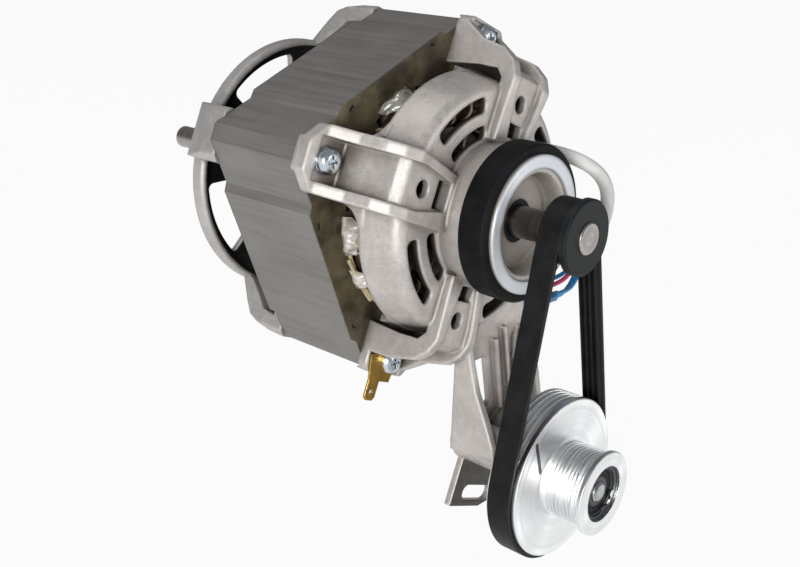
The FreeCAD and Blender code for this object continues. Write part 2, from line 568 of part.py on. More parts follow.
liner = newBody("rear_liner", turn="arm_angle + 45")
turned(liner, "linerTurned", [
    ("rear_hub_radius + slip_gap", "rear_wall_front - liner_thick"),
    ("rim_inner - liner_thick - slip_gap", "rear_wall_front - liner_thick"),
    ("rim_inner - liner_thick - slip_gap", "rim_front + 0.4"),
    ("rim_inner - slip_gap", "rim_front + 0.4"), ("rim_inner - slip_gap", "rear_wall_front"),
    ("rear_hub_radius + slip_gap", "rear_wall_front")])
linerWindow = turned(liner, "linerWindow", [
    ("rear_window_in", "rear_wall_front - 3"), ("rear_window_out", "rear_wall_front - 3"),
    ("rear_window_out", "rear_wall_front + 3"), ("rear_window_in", "rear_wall_front + 3")],
    angle="rear_window_sweep", groove=True)
aroundAxis(liner, "linerWindows", [linerWindow], 4)
rounded(liner, "linerWindowEnds", "slot_round",
        lambda edge: alongAxis(edge, size("rear_window_in") - 0.5, size("rear_window_out") + 0.5))
keep(liner)

# Corner bolts, washers and earth tab

seat = "pad_front + seat_depth"
for number in range(4):
    angle = "arm_angle + %d" % (90 * number)
    across = "bolt_circle * cos((%s) * 1 deg)" % angle
    up = "bolt_circle * sin((%s) * 1 deg)" % angle
    bolt = newBody("corner_bolt_%d" % (number + 1), x=across, y=seat, z=up)
    turned(bolt, "boltTurned%d" % number, [
        ("0", "-washer_thick - head_height"), ("head_radius * 0.55", "-washer_thick - head_height"),
        ("head_radius * 0.86", "-washer_thick - head_height * 0.8"),
        ("head_radius", "-washer_thick - head_height * 0.4"), ("head_radius", "-washer_thick"),
        ("bolt_radius", "-washer_thick"),
        ("bolt_radius", rearStart + " + rear_pad - 0.8 - (" + seat + ")"),
        ("0", rearStart + " + rear_pad - 0.8 - (" + seat + ")")])
    recess = newSketch(bolt, "XZ_Plane", "boltRecess%d" % number,
                       offset="washer_thick + head_height")
    outline(recess, [
        ("-head_radius * 0.5", "-0.55"), ("-0.55", "-0.55"), ("-0.55", "-head_radius * 0.5"),
        ("0.55", "-head_radius * 0.5"), ("0.55", "-0.55"), ("head_radius * 0.5", "-0.55"),
        ("head_radius * 0.5", "0.55"), ("0.55", "0.55"), ("0.55", "head_radius * 0.5"),
        ("-0.55", "head_radius * 0.5"), ("-0.55", "0.55"), ("-head_radius * 0.5", "0.55")])
    padded(bolt, "boltDrive%d" % number, recess, "head_height * 0.6", cut=True)
    keep(bolt)
    if number != 2:
        washer = newBody("corner_washer_%d" % (number + 1), x=across, y=seat, z=up)
        turned(washer, "washerTurned%d" % number, [
            ("bolt_radius + slip_gap", "-washer_thick"), ("washer_radius", "-washer_thick"),
            ("washer_radius", "0"), ("bolt_radius + slip_gap", "0")])
        keep(washer)

tab = newBody("earth_tab", y=seat, turn="arm_angle + 180")
tabPlate = newSketch(tab, "XZ_Plane", "tabPlate")
tabEdge = "-tab_blade - tab_offset"
outline(tabPlate, [
    ("bolt_circle - 1.3", "0.6 - tab_wide"), ("bolt_circle + tab_shoulder", tabEdge),
    (tabTip + " - 1.5", tabEdge), (tabTip, tabEdge + " + 1.2"),
    (tabTip, "-tab_offset - 1.2"), (tabTip + " - 1.5", "-tab_offset"),
    ("bolt_circle + tab_shoulder", "-tab_offset"), ("bolt_circle + tab_shoulder", "tab_wide - 8.4"),
    ("bolt_circle + 2", "4.6"), ("bolt_circle - 3.8", "3.8"), ("bolt_circle - 4.2", "-4")])
circle(tabPlate, "bolt_circle", 0, "bolt_radius + slip_gap")
circle(tabPlate, tabTip + " - 3.4", "-tab_offset - tab_blade / 2", 0.9)
padded(tab, "tabPad", tabPlate, "tab_thick")
keep(tab)

# Bearings

def ballBearing(stem, y, z, bore, rise, lip, hub, width, balls):
    """Outer ring, balls in their cage and inner ring; y is the bearing's front face."""
    outer = lathe(stem + "_outer_ring", [
        (lip, "0"), (rise + " - 0.5", "0"), (rise, "0.5"), (rise, width + " - 0.5"),
        (rise + " - 0.5", width), (lip, width)], y=y, z=z)
    inner = lathe(stem + "_inner_ring", [
        (bore, "run_gap"), (hub, "run_gap"), (hub, width + " - run_gap"),
        (bore, width + " - run_gap")], y=y, z=z)
    middle = "(%s + %s) / 2" % (lip, hub)
    cage = newBody(stem + "_balls", y="%s + (%s) / 2" % (y, width), z=z)
    turned(cage, stem + "CageTurned", [
        (middle + " - 0.55", "-cage_half"), (middle + " + 0.55", "-cage_half"),
        (middle + " + 0.55", "cage_half"), (middle + " - 0.55", "cage_half")])
    ball = cage.newObject("PartDesign::AdditiveSphere", stem + "Ball")
    ball.setExpression("Radius", bound("(%s - %s) / 2 - run_gap" % (lip, hub)))
    ball.AttachmentSupport = ([item for item in cage.Origin.OriginFeatures
                               if item.Role == "XY_Plane"][0], [""])
    ball.MapMode = "FlatFace"
    ball.setExpression("AttachmentOffset.Base.x", bound(middle))
    doc.recompute()
    aroundAxis(cage, stem + "Balls", [ball], balls)
    keep(outer, cage, inner)


frontBearing = "cup_depth - hub_front + cup_floor"
ballBearing("front_bearing", frontBearing, 0, "shaft_radius", "bearing_radius", "bearing_lip",
            "bearing_hub", "bearing_width", 7)
ballBearing("rear_bearing", "rear_bearing", 0, "shaft_radius", "bearing_radius", "bearing_lip",
            "bearing_hub", "bearing_width", 7)
keep(lathe("wave_washer", [
    ("bearing_lip + 0.6", "0"), ("bearing_radius - 0.3", "0"),
    ("bearing_radius - 0.3", "wave_washer_thick"), ("bearing_lip + 0.6", "wave_washer_thick")],
    y="rear_bearing + bearing_width"))
keep(lathe("shaft_seal", [
    ("shaft_radius + run_gap", "0"), ("neck_radius - slip_gap", "0"),
    ("neck_radius - slip_gap", "cup_floor"), ("shaft_radius + run_gap", "cup_floor")],
    y="cup_depth - hub_front"))

# Rotor

keep(lathe("motor_shaft", [
    ("0", "-shaft_front"), ("shaft_radius - 0.5", "-shaft_front"),
    ("shaft_radius", "-shaft_front + 0.5"), ("shaft_radius", frontBearing + " + bearing_width"),
    ("shaft_mid_radius", frontBearing + " + bearing_width"), ("shaft_mid_radius", "rear_bearing"),
    ("shaft_radius", "rear_bearing"), ("shaft_radius", "shaft_rear - 25"),
    ("shaft_radius - 1", "shaft_rear - 25"), ("shaft_radius - 1", "shaft_rear - 0.6"),
    ("shaft_radius - 1.6", "shaft_rear"), ("0", "shaft_rear")]))
keep(lathe("rotor_core", [
    ("shaft_mid_radius", "0"), ("rotor_radius", "0"), ("rotor_radius", "stack_length"),
    ("shaft_mid_radius", "stack_length")], y="stator_front"))


def endRing(label, y, outward):
    ring = newBody(label, y=y)
    turned(ring, label + "Turned", [
        ("end_ring_in", "0"), ("rotor_radius - 1", "0"),
        ("rotor_radius - 1", "%d * end_ring_length" % outward),
        ("end_ring_in", "%d * end_ring_length" % outward)])
    blade = newSketch(ring, "XY_Plane", label + "Blade")
    outline(blade, [
        ("end_ring_in + 2", "0"), ("rotor_radius - 2", "0"),
        ("rotor_radius - 2", "%d * (end_ring_length + 6)" % outward),
        ("end_ring_in + 2", "%d * (end_ring_length + 6)" % outward)])
    bladePad = padded(ring, label + "BladePad", blade, 1.6, middle=True)
    aroundAxis(ring, label + "Blades", [bladePad], 9)
    keep(ring)


endRing("rotor_front_ring", "stator_front", -1)
endRing("rotor_rear_ring", rearStart, 1)

# Belt and pulleys

beltFront = "-belt_back"
beltRear = "belt_width - belt_back"


def grooves(tip, start, count, pitch="rib_pitch", depth="rib_height", root="tip_width + 0.5"):
    """Corners of a row of V grooves, from start toward +Y, as (radius, along) formulas."""
    corners = []
    for k in range(count):
        base = "%s + %d * %s" % (start, k, pitch)
        corners += [(tip, base + " + 0.15"),
                    ("%s - %s" % (tip, depth), base + " + (%s - (%s)) / 2" % (pitch, root)),
                    ("%s - %s" % (tip, depth), base + " + (%s + (%s)) / 2" % (pitch, root)),
                    (tip, base + " + %s - 0.15" % pitch)]
    return corners


ribCount = int(size("rib_count"))
ribStart = "-belt_back + (belt_width - rib_count * rib_pitch) / 2"
keep(lathe("motor_pulley", [
    ("shaft_radius", "-belt_back - run_gap - small_flange_width"),
    ("small_flange - edge_bevel", "-belt_back - run_gap - small_flange_width"),
    ("small_flange", "edge_bevel - belt_back - run_gap - small_flange_width"),
    ("small_flange", "-belt_back - run_gap"), ("small_tip", "-belt_back - run_gap")]
    + grooves("small_tip", ribStart, ribCount)
    + [("small_tip", beltRear + " + rear_land"), ("shaft_radius", beltRear + " + rear_land")]))

drumStart = "-large_rim_front - drum_neck - drum_grooves * drum_pitch"
faceEnd = drumStart + " - drum_flange_width"
innerBearing = "large_rim_width - large_rim_front - bearing_inset + 1 - pulley_bearing_width"
pulley = newBody("reduction_pulley", z=axleDrop)
outerBearing = faceEnd + " + bearing_inset"
turned(pulley, "pulleyTurned", [
    ("pulley_bearing_radius", faceEnd), ("drum_flange - 0.4", faceEnd),
    ("drum_flange", faceEnd + " + 0.4"), ("drum_flange", drumStart), ("drum_tip", drumStart)]
    + grooves("drum_tip", drumStart, int(size("drum_grooves")), "drum_pitch", "drum_depth", "0.3")
    + [("drum_tip - 0.8", "-large_rim_front - drum_neck + 0.2"),
       ("drum_tip - 0.8", "-large_rim_front"), ("large_tip - 0.4", "-large_rim_front"),
       ("large_tip", "-large_rim_front + 0.4")]
    + grooves("large_tip", ribStart, ribCount)
    + [("large_tip", "large_rim_width - large_rim_front"),
       ("large_tip - large_rim_wall", "large_rim_width - large_rim_front"),
       ("large_tip - large_rim_wall", "-large_rim_front + large_web"),
       ("pulley_bearing_radius + 3", "-large_rim_front + large_web"),
       ("pulley_bearing_radius + 3", "large_rim_width - large_rim_front"),
       ("pulley_bearing_radius", "large_rim_width - large_rim_front"),
       ("pulley_bearing_radius", innerBearing), ("pulley_shoulder", innerBearing),
       ("pulley_shoulder", outerBearing + " + pulley_bearing_width"),
       ("pulley_bearing_radius", outerBearing + " + pulley_bearing_width"),
       ("pulley_bearing_radius", outerBearing),
       ("pulley_bearing_radius + clip_depth", outerBearing),
       ("pulley_bearing_radius + clip_depth", outerBearing + " - clip_thick - 0.1"),
       ("pulley_bearing_radius", outerBearing + " - clip_thick - 0.1")])
mark = newSketch(pulley, "XZ_Plane", "timingMark", offset="large_rim_front")
outline(mark, [
    (-20.6, "centre_distance - 75.4"), (-19, "centre_distance - 75.2"),
    (-15.8, "centre_distance - 87.2"), (-17.4, "centre_distance - 87.4")])
padded(pulley, "timingMarkCut", mark, 0.6, cut=True)
keep(pulley)

ballBearing("pulley_front_bearing", outerBearing, axleDrop, "axle_radius", "pulley_bearing_radius",
            "pulley_bearing_lip", "pulley_bearing_hub", "pulley_bearing_width", 7)
ballBearing("pulley_rear_bearing", innerBearing, axleDrop, "axle_radius", "pulley_bearing_radius",
            "pulley_bearing_lip", "pulley_bearing_hub", "pulley_bearing_width", 7)
keep(lathe("pulley_seal", [
    ("pulley_bearing_hub + run_gap", "0.2"), ("pulley_bearing_lip - slip_gap", "0.2"),
    ("pulley_bearing_lip - slip_gap", "0.8"), ("pulley_bearing_hub + run_gap", "0.8")],
    y=outerBearing, z=axleDrop))
keep(lathe("axle_spacer", [
    ("axle_radius + slip_gap", "0"), ("pulley_bearing_hub - 0.3", "0"),
    ("pulley_bearing_hub - 0.3", innerBearing + " - pulley_bearing_width - (" + outerBearing + ")"),
    ("axle_radius + slip_gap", innerBearing + " - pulley_bearing_width - (" + outerBearing + ")")],
    y=outerBearing + " + pulley_bearing_width", z=axleDrop))
keep(lathe("boss_spacer", [
    ("axle_radius + slip_gap", "0"), ("pulley_bearing_hub - 0.3", "0"),
    ("pulley_bearing_hub - 0.3", "-boss_front - pulley_bearing_width - (" + innerBearing + ")"),
    ("axle_radius + slip_gap", "-boss_front - pulley_bearing_width - (" + innerBearing + ")")],
    y=innerBearing + " + pulley_bearing_width", z=axleDrop))
keep(lathe("pulley_axle", [
    ("0", outerBearing + " - axle_crown"), ("axle_radius * 0.45", outerBearing + " - axle_crown * 0.9"),
    ("axle_radius * 0.8", outerBearing + " - axle_crown * 0.6"),
    ("axle_radius", outerBearing + " - 0.1"), ("axle_radius", webBack),
    ("axle_head", webBack), ("axle_head", webBack + " + axle_head_height"),
    ("0", webBack + " + axle_head_height")], z=axleDrop))

clip = newBody("bearing_circlip", z=axleDrop)
clipRing = newSketch(clip, "XZ_Plane", "clipRing", offset="-(" + outerBearing + ")")
circle(clipRing, 0, 0, "pulley_bearing_radius + clip_depth - 0.1")
circle(clipRing, 0, 0, "pulley_bearing_radius - clip_band")
padded(clip, "clipRingPad", clipRing, "clip_thick")
clipEars = newSketch(clip, "XZ_Plane", "clipEars", offset="-(" + outerBearing + ")")
circle(clipEars, "(pulley_bearing_radius - 1.7) * 0.914", "(1.7 - pulley_bearing_radius) * 0.407", 1.3)
circle(clipEars, "(pulley_bearing_radius - 1.7) * 0.407", "(1.7 - pulley_bearing_radius) * 0.914", 1.3)
padded(clip, "clipEarsPad", clipEars, "clip_thick")
clipGap = newSketch(clip, "XZ_Plane", "clipGap")
outline(clipGap, [(4.2, -4.2), (12, -8.6), (12, -12), (8.6, -12)])
padded(clip, "clipGapCut", clipGap, None, middle=True, cut=True)
keep(clip)


def beltSection(angle, centreZ, radius):
    """The ribbed section of the belt at one place round a pulley, as a face."""
    base = radius + size("run_gap")
    front = size(beltFront)
    rear = size(beltRear)
    back = base + size("belt_base")
    tip = base - size("rib_height")
    points = [(back, front), (back, rear), (base, rear)]
    pitch = size("rib_pitch")
    start = size(ribStart)
    for k in reversed(range(ribCount)):
        middle = start + (k + 0.5) * pitch
        half = pitch / 2 - 0.15 - size("run_gap")
        point = size("tip_width") / 2
        points += [(base, middle + half), (tip, middle + point), (tip, middle - point),
                   (base, middle - half)]
    points.append((base, front))
    outward = FreeCAD.Vector(math.cos(angle), 0, math.sin(angle))
    spots = [outward * r + FreeCAD.Vector(0, y, centreZ) for r, y in points]
    return Part.Face(Part.makePolygon(spots + spots[:1]))


lean = math.asin((size("large_tip") - size("small_tip")) / size("centre_distance"))
drop = -size("centre_distance")
overTop = beltSection(lean, 0, size("small_tip")).revolve(
    FreeCAD.Vector(0, 0, 0), FreeCAD.Vector(0, -1, 0), 180 - 2 * math.degrees(lean))
underneath = beltSection(lean, drop, size("large_tip")).revolve(
    FreeCAD.Vector(0, 0, drop), FreeCAD.Vector(0, 1, 0), 180 + 2 * math.degrees(lean))
runs = []
for angle in (lean, math.pi - lean):
    top = beltSection(angle, 0, size("small_tip"))
    outward = FreeCAD.Vector(math.cos(angle), 0, math.sin(angle))
    start = outward * size("small_tip")
    stop = outward * size("large_tip") + FreeCAD.Vector(0, 0, drop)
    runs.append(top.extrude(stop - start))
belt = doc.addObject("Part::Feature", "drive_belt")
belt.Label = "drive_belt"
belt.Shape = overTop.fuse([underneath] + runs).removeSplitter()
belt.Placement = FreeCAD.Placement()
keep(belt)

# Leads

def cordPath(route):
    """Straight runs joined by tangent arcs; each arc is as large as its two runs allow."""
    edges = []
    radii = []
    at = route[0]
    for before, corner, after in zip(route, route[1:], route[2:]):
        come = (corner - before)
        go = (after - corner)
        shorter = min(come.Length, go.Length)
        turn = come.getAngle(go)
        reach = 0.45 * shorter
        radii.append(reach / math.tan(turn / 2))
        come.normalize()
        go.normalize()
        enter = corner - come * reach
        leave = corner + go * reach
        towards = go - come
        towards.normalize()
        middle = corner + towards * (radii[-1] / math.cos(turn / 2) - radii[-1])
        edges.append(Part.LineSegment(at, enter).toShape())
        edges.append(Part.Arc(enter, middle, leave).toShape())
        at = leave
    edges.append(Part.LineSegment(at, route[-1]).toShape())
    return Part.Wire(edges), radii


def cordTube(label, route, radius):
    path, radii = cordPath([FreeCAD.Vector(*point) for point in route])
    heading = FreeCAD.Vector(*route[1]) - FreeCAD.Vector(*route[0])
    ring = Part.Wire(Part.Circle(FreeCAD.Vector(*route[0]), heading, radius).toShape())
    tube = doc.addObject("Part::Feature", label)
    tube.Label = label
    tube.Shape = path.makePipeShell([ring], True, False)
    tube.Placement = FreeCAD.Placement()
    expected = math.pi * radius ** 2 * path.Length
    print(label, "length %.1f" % path.Length, "smallest radius %.1f" % min(radii),
          "volume ratio %.3f" % (tube.Shape.Volume / expected))
    keep(tube)
    return path


# The sleeve leaves through an outer slot of the shield, so its first run lies in that slot
leadReach = (size("outer_slot_in") + size("outer_slot_out")) / 2
leadX = leadReach * math.cos(math.radians(size("lead_turn")))
leadZ = leadReach * math.sin(math.radians(size("lead_turn")))
wallBack = size("dome_front") + size("wall")
collar = newBody("lead_collar", y="dome_front + wall")
collar.Placement = FreeCAD.Placement(FreeCAD.Vector(leadX, wallBack, leadZ), FreeCAD.Rotation())
collar.setExpression("Placement.Base.x",
                     bound("(outer_slot_in + outer_slot_out) / 2 * cos(lead_turn * 1 deg)"))
collar.setExpression("Placement.Base.z",
                     bound("(outer_slot_in + outer_slot_out) / 2 * sin(lead_turn * 1 deg)"))
turned(collar, "leadCollarTurned", [
    ("sleeve_radius + slip_gap", "0"), ("sleeve_radius + collar_wall", "0"),
    ("sleeve_radius + collar_wall", "collar_length"),
    ("sleeve_radius + slip_gap", "collar_length")])
keep(collar)
sleeveRoute = [(leadX, wallBack + size("collar_length") + 1, leadZ),
               (leadX + 0.3, wallBack - 5.4, leadZ), (40.6, 5.6, 17.2), (46.1, -0.3, 13.7),
               (52.0, -3.3, 7.9), (56.0, -3.7, 0.1), (56.7, -2.6, -8.6), (54.1, -1.2, -16.9),
               (48.6, 0.3, -23.0)]
cordTube("lead_sleeve", sleeveRoute, size("sleeve_radius"))

# Each wire leaves the sleeve's cut end square to it, turns behind the belt and ends in its terminal
sleeveEnd = FreeCAD.Vector(*sleeveRoute[-1])
along = (sleeveEnd - FreeCAD.Vector(*sleeveRoute[-2])).normalize()
rear = (FreeCAD.Vector(0, 1, 0) - along * along.y).normalize()
across = along.cross(rear)
wires = [
    (rear, [(40.8, 3.4, -29.8), (35.7, 4.1, -31.2), (30.3, 5.2, -31.6), (24.8, 6.1, -32.0),
            (19.1, 6.9, -32.6)]),
    (rear * -1, [(41.6, -1.1, -31.6), (36.9, -2.2, -33.7), (31.5, -3.2, -34.0),
                 (25.9, -4.2, -33.4), (20.1, -4.8, -32.8)]),
    (across, [(43.3, 1.5, -32.7), (39.1, 1.2, -36.2), (33.8, 1.0, -37.6), (28.1, 1.2, -37.7),
              (22.3, 1.6, -37.3)]),
    (across * -1, [(39.5, 0.5, -29.1), (34.3, 0.1, -30.8), (28.9, 0.4, -31.6),
                   (23.3, 0.7, -31.7), (17.6, 1.0, -31.7)])]
for number, (side, bends) in enumerate(wires, 1):
    start = sleeveEnd + side * size("wire_offset")
    route = [start, start + along * 5.5] + [FreeCAD.Vector(*bend) for bend in bends]
    cordTube("lead_wire_%d" % number, [tuple(point) for point in route], size("wire_radius"))
    heading = (route[-1] - route[-2]).normalize()
    barrel = Part.makeCylinder(size("barrel_radius"), size("barrel_length"), route[-1], heading)
    socket = Part.makeBox(size("socket_length"), size("socket_width"), size("socket_height"))
    socket.translate(FreeCAD.Vector(0, -size("socket_width") / 2, -size("socket_height") / 2))
    level = (FreeCAD.Vector(0, 1, 0) - heading * heading.y).normalize()
    upward = heading.cross(level)
    middle = route[-1] + heading * (size("barrel_length") - 0.6)
    socket = socket.transformGeometry(FreeCAD.Matrix(
        heading.x, level.x, upward.x, middle.x, heading.y, level.y, upward.y, middle.y,
        heading.z, level.z, upward.z, middle.z, 0, 0, 0, 1))
    terminal = doc.addObject("Part::Feature", "lead_terminal_%d" % number)
    terminal.Label = "lead_terminal_%d" % number
    terminal.Shape = barrel.fuse(socket)
    keep(terminal)

# Check and write

doc.recompute()
for obj in doc.Objects:
    if "Invalid" in obj.State or "Error" in obj.State:
        raise RuntimeError("failed object: %s %s" % (obj.Label, obj.State))
for piece in subparts:
    if piece.Shape.isNull() or not piece.Shape.isValid():
        raise RuntimeError("bad shape: " + piece.Label)
os.makedirs("parts", exist_ok=True)
for piece in subparts:
    piece.Shape.exportStep("parts/%s.step" % piece.Label)
    print("%-28s solids %2d  volume %10.1f" % (piece.Label, len(piece.Shape.Solids),
                                               piece.Shape.Volume))
print(len(subparts), "sub-parts")
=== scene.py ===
# Dryer drive motor with a belt reduction, dressed round its CAD frame. Metres, motor axis along Y.
import math

import bpy
import numpy as np
from mathutils import Matrix, Vector


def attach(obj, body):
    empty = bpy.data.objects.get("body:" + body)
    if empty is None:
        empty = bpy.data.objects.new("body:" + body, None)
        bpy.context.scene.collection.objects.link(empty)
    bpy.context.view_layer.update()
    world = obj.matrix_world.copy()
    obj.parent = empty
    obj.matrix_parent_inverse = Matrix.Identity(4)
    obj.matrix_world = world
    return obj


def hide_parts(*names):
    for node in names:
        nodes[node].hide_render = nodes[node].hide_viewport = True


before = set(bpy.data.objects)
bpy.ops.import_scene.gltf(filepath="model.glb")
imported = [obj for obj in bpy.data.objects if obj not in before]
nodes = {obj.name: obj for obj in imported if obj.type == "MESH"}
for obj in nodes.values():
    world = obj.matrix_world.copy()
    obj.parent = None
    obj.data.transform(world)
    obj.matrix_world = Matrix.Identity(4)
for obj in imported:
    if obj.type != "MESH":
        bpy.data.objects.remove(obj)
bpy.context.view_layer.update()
mm = 0.001
print("stage: CAD frame loaded with", len(nodes), "nodes")


# node shorthand: add() makes a node and feeds its sockets, the others give back an output

# a socket takes either a link or a value
def feed(tree, node, key, value):
    socket = node.inputs[key]
    if isinstance(value, bpy.types.NodeSocket):
        tree.links.new(value, socket)
    else:
        socket.default_value = value


def add(tree, kind, inputs=None, **settings):
    node = tree.nodes.new(kind)
    for name, value in settings.items():
        setattr(node, name, value)
    for key, value in (inputs or {}).items():
        feed(tree, node, key, value)
    return node


def maths(tree, operation, *values, clamp=False):
    node = add(tree, "ShaderNodeMath", operation=operation, use_clamp=clamp)
    for slot, value in enumerate(values):
        feed(tree, node, slot, value)
    return node.outputs[0]


def blendColour(tree, factor, first, second):
    node = add(tree, "ShaderNodeMix", data_type="RGBA", blend_type="MIX")
    feed(tree, node, 0, factor)
    feed(tree, node, 6, first)
    feed(tree, node, 7, second)
    return node.outputs[2]


# smooth ramp: "toLow" at "low" and "toHigh" at "high", and level beyond both
def step(tree, value, low, high, toLow=0.0, toHigh=1.0):
    node = add(tree, "ShaderNodeMapRange", {0: value, 1: low, 2: high, 3: toLow, 4: toHigh},
               interpolation_type="SMOOTHSTEP")
    return node.outputs[0]


def noise(tree, vector, scale, detail, roughness):
    return add(tree, "ShaderNodeTexNoise", {"Vector": vector, "Scale": scale, "Detail": detail,
                                            "Roughness": roughness}).outputs["Fac"]


def split(tree, vector):
    node = add(tree, "ShaderNodeSeparateXYZ", {0: vector})
    return node.outputs[0], node.outputs[1], node.outputs[2]


def join(tree, x, y, z):
    return add(tree, "ShaderNodeCombineXYZ", {0: x, 1: y, 2: z}).outputs[0]


# distance from the Y axis, the root of x squared plus z squared
def fromAxis(tree, x, z):
    squares = maths(tree, "ADD", maths(tree, "MULTIPLY", x, x), maths(tree, "MULTIPLY", z, z))
    return maths(tree, "SQRT", squares)


def mixValue(tree, factor, first, second):
    return add(tree, "ShaderNodeMix", {0: factor, 2: first, 3: second}).outputs[0]


# a node group with its sockets named, and its two ends
def startGroup(name, inputs, outputs):
    tree = bpy.data.node_groups.new(name, "ShaderNodeTree")
    for label, kind, value in inputs:
        socket = tree.interface.new_socket(label, in_out="INPUT", socket_type="NodeSocket" + kind)
        if value is not None:
            socket.default_value = value
    for label, kind in outputs:
        tree.interface.new_socket(label, in_out="OUTPUT", socket_type="NodeSocket" + kind)
    entry = tree.nodes.new("NodeGroupInput").outputs
    leave = tree.nodes.new("NodeGroupOutput").inputs
    return tree, entry, leave


# a group's outputs once its inputs are fed; "_" in a name stands for a blank
def useGroup(tree, group, **inputs):
    node = add(tree, "ShaderNodeGroup", node_tree=group)
    for name, value in inputs.items():
        feed(tree, node, name.replace("_", " "), value)
    return node.outputs


# shared effects. A noise is written down as (scale, detail, roughness), and a ramp as step()
# takes it: (low, high, value at low, value at high).

# blotches of 15 mm, mottle of 3 mm and a 0.5 mm sand grain, as a pale and a dark skin colour,
# with pale flecks and dark pits where the grain is highest and lowest
grains = {"blotch": (70, 4, 0.6), "blotchShare": 0.55, "mottle": (330, 3, 0.6),
          "mottleShare": 0.45, "sand": (1900, 2, 0.7), "tone": (0.3, 0.7),
          "fleck": (0.5, 0.75, 0.0, 0.3), "fleckColour": (0.86, 0.84, 0.82, 1),
          "pit": (0.42, 0.25, 0.0, 0.35), "pitColour": (0.2, 0.18, 0.16, 1),
          "rough": (0.3, 0.7, 0.38, 0.5), "mottleHeight": 0.8}
castSkin, entry, leave = startGroup(
    "castSkin",
    [("Vector", "Vector", None), ("Pale", "Color", (0.6, 0.58, 0.56, 1)),
     ("Dark", "Color", (0.4, 0.38, 0.36, 1)), ("Grain", "Float", 1.0)],
    [("Color", "Color"), ("Roughness", "Float"), ("Height", "Float")])
blotch = noise(castSkin, entry["Vector"], *grains["blotch"])
mottle = noise(castSkin, entry["Vector"], *grains["mottle"])
sand = noise(castSkin, entry["Vector"], *grains["sand"])
tone = maths(castSkin, "ADD", maths(castSkin, "MULTIPLY", blotch, grains["blotchShare"]),
             maths(castSkin, "MULTIPLY", mottle, grains["mottleShare"]))
skin = blendColour(castSkin, step(castSkin, tone, *grains["tone"]), entry["Dark"], entry["Pale"])
skin = blendColour(castSkin, step(castSkin, sand, *grains["fleck"]), skin, grains["fleckColour"])
skin = blendColour(castSkin, step(castSkin, sand, *grains["pit"]), skin, grains["pitColour"])
castSkin.links.new(skin, leave["Color"])
castSkin.links.new(step(castSkin, mottle, *grains["rough"]), leave["Roughness"])
relief = maths(castSkin, "ADD", sand,
               maths(castSkin, "MULTIPLY", mottle, grains["mottleHeight"]))
castSkin.links.new(maths(castSkin, "MULTIPLY", relief, entry["Grain"]), leave["Height"])

# rings round the Y axis: noise read at (distance from the axis, Y), so it never changes round a
# turn, with fine rings as a height and 2 mm bands as a tone
latheNoise = {"bands": 420, "detail": 2, "roughness": 0.5}
latheMarks, entry, leave = startGroup(
    "latheMarks", [("Vector", "Vector", None), ("Rings", "Float", 2600.0)],
    [("Height", "Float"), ("Band", "Float")])
x, y, z = split(latheMarks, entry["Vector"])
section = join(latheMarks, fromAxis(latheMarks, x, z), y, 0.0)
for scale, label in ((entry["Rings"], "Height"), (latheNoise["bands"], "Band")):
    latheMarks.links.new(noise(latheMarks, section, scale, latheNoise["detail"],
                               latheNoise["roughness"]), leave[label])

# punched sheets 0.5 mm thick along Y, with drag streaks that run along Y across their edges
drags = {"across": 420.0, "along": 16.0, "streak": (1.0, 4, 0.6), "edge": (0.34, 0.5),
         "uneven": 0.5}
sheetStack, entry, leave = startGroup(
    "sheetStack", [("Vector", "Vector", None), ("Sheets", "Float", 2000.0)],
    [("Line", "Float"), ("Streak", "Float"), ("Height", "Float")])
x, y, z = split(sheetStack, entry["Vector"])
turns = maths(sheetStack, "MULTIPLY", y, entry["Sheets"])
within = maths(sheetStack, "ABSOLUTE", maths(sheetStack, "SUBTRACT",
                                             maths(sheetStack, "FRACT", turns), 0.5))
edge = step(sheetStack, within, *drags["edge"])
each = add(sheetStack, "ShaderNodeTexWhiteNoise",
           {"W": maths(sheetStack, "FLOOR", turns)}, noise_dimensions="1D").outputs["Value"]
stretched = join(sheetStack, maths(sheetStack, "MULTIPLY", x, drags["across"]),
                 maths(sheetStack, "MULTIPLY", y, drags["along"]),
                 maths(sheetStack, "MULTIPLY", z, drags["across"]))
uneven = maths(sheetStack, "MULTIPLY", each, drags["uneven"])
sheetStack.links.new(edge, leave["Line"])
sheetStack.links.new(noise(sheetStack, stretched, *drags["streak"]), leave["Streak"])
sheetStack.links.new(maths(sheetStack, "SUBTRACT", uneven, edge), leave["Height"])

# moulded or extruded skin: a fine pore height and a slow change of sheen
moulds = {"smudge": (110, 4, 0.6), "poreDetail": 2, "poreRoughness": 0.6, "sheen": (0.3, 0.7)}
mouldSkin, entry, leave = startGroup(
    "mouldSkin", [("Vector", "Vector", None), ("Pores", "Float", 2400.0),
                  ("Sheen Low", "Float", 0.4), ("Sheen High", "Float", 0.6)],
    [("Height", "Float"), ("Roughness", "Float"), ("Smudge", "Float")])
pores = noise(mouldSkin, entry["Vector"], entry["Pores"], moulds["poreDetail"],
              moulds["poreRoughness"])
smudge = noise(mouldSkin, entry["Vector"], *moulds["smudge"])
sheen = add(mouldSkin, "ShaderNodeMapRange", {
    0: smudge, 1: moulds["sheen"][0], 2: moulds["sheen"][1], 3: entry["Sheen Low"],
    4: entry["Sheen High"]})
mouldSkin.links.new(pores, leave["Height"])
mouldSkin.links.new(sheen.outputs[0], leave["Roughness"])
mouldSkin.links.new(smudge, leave["Smudge"])

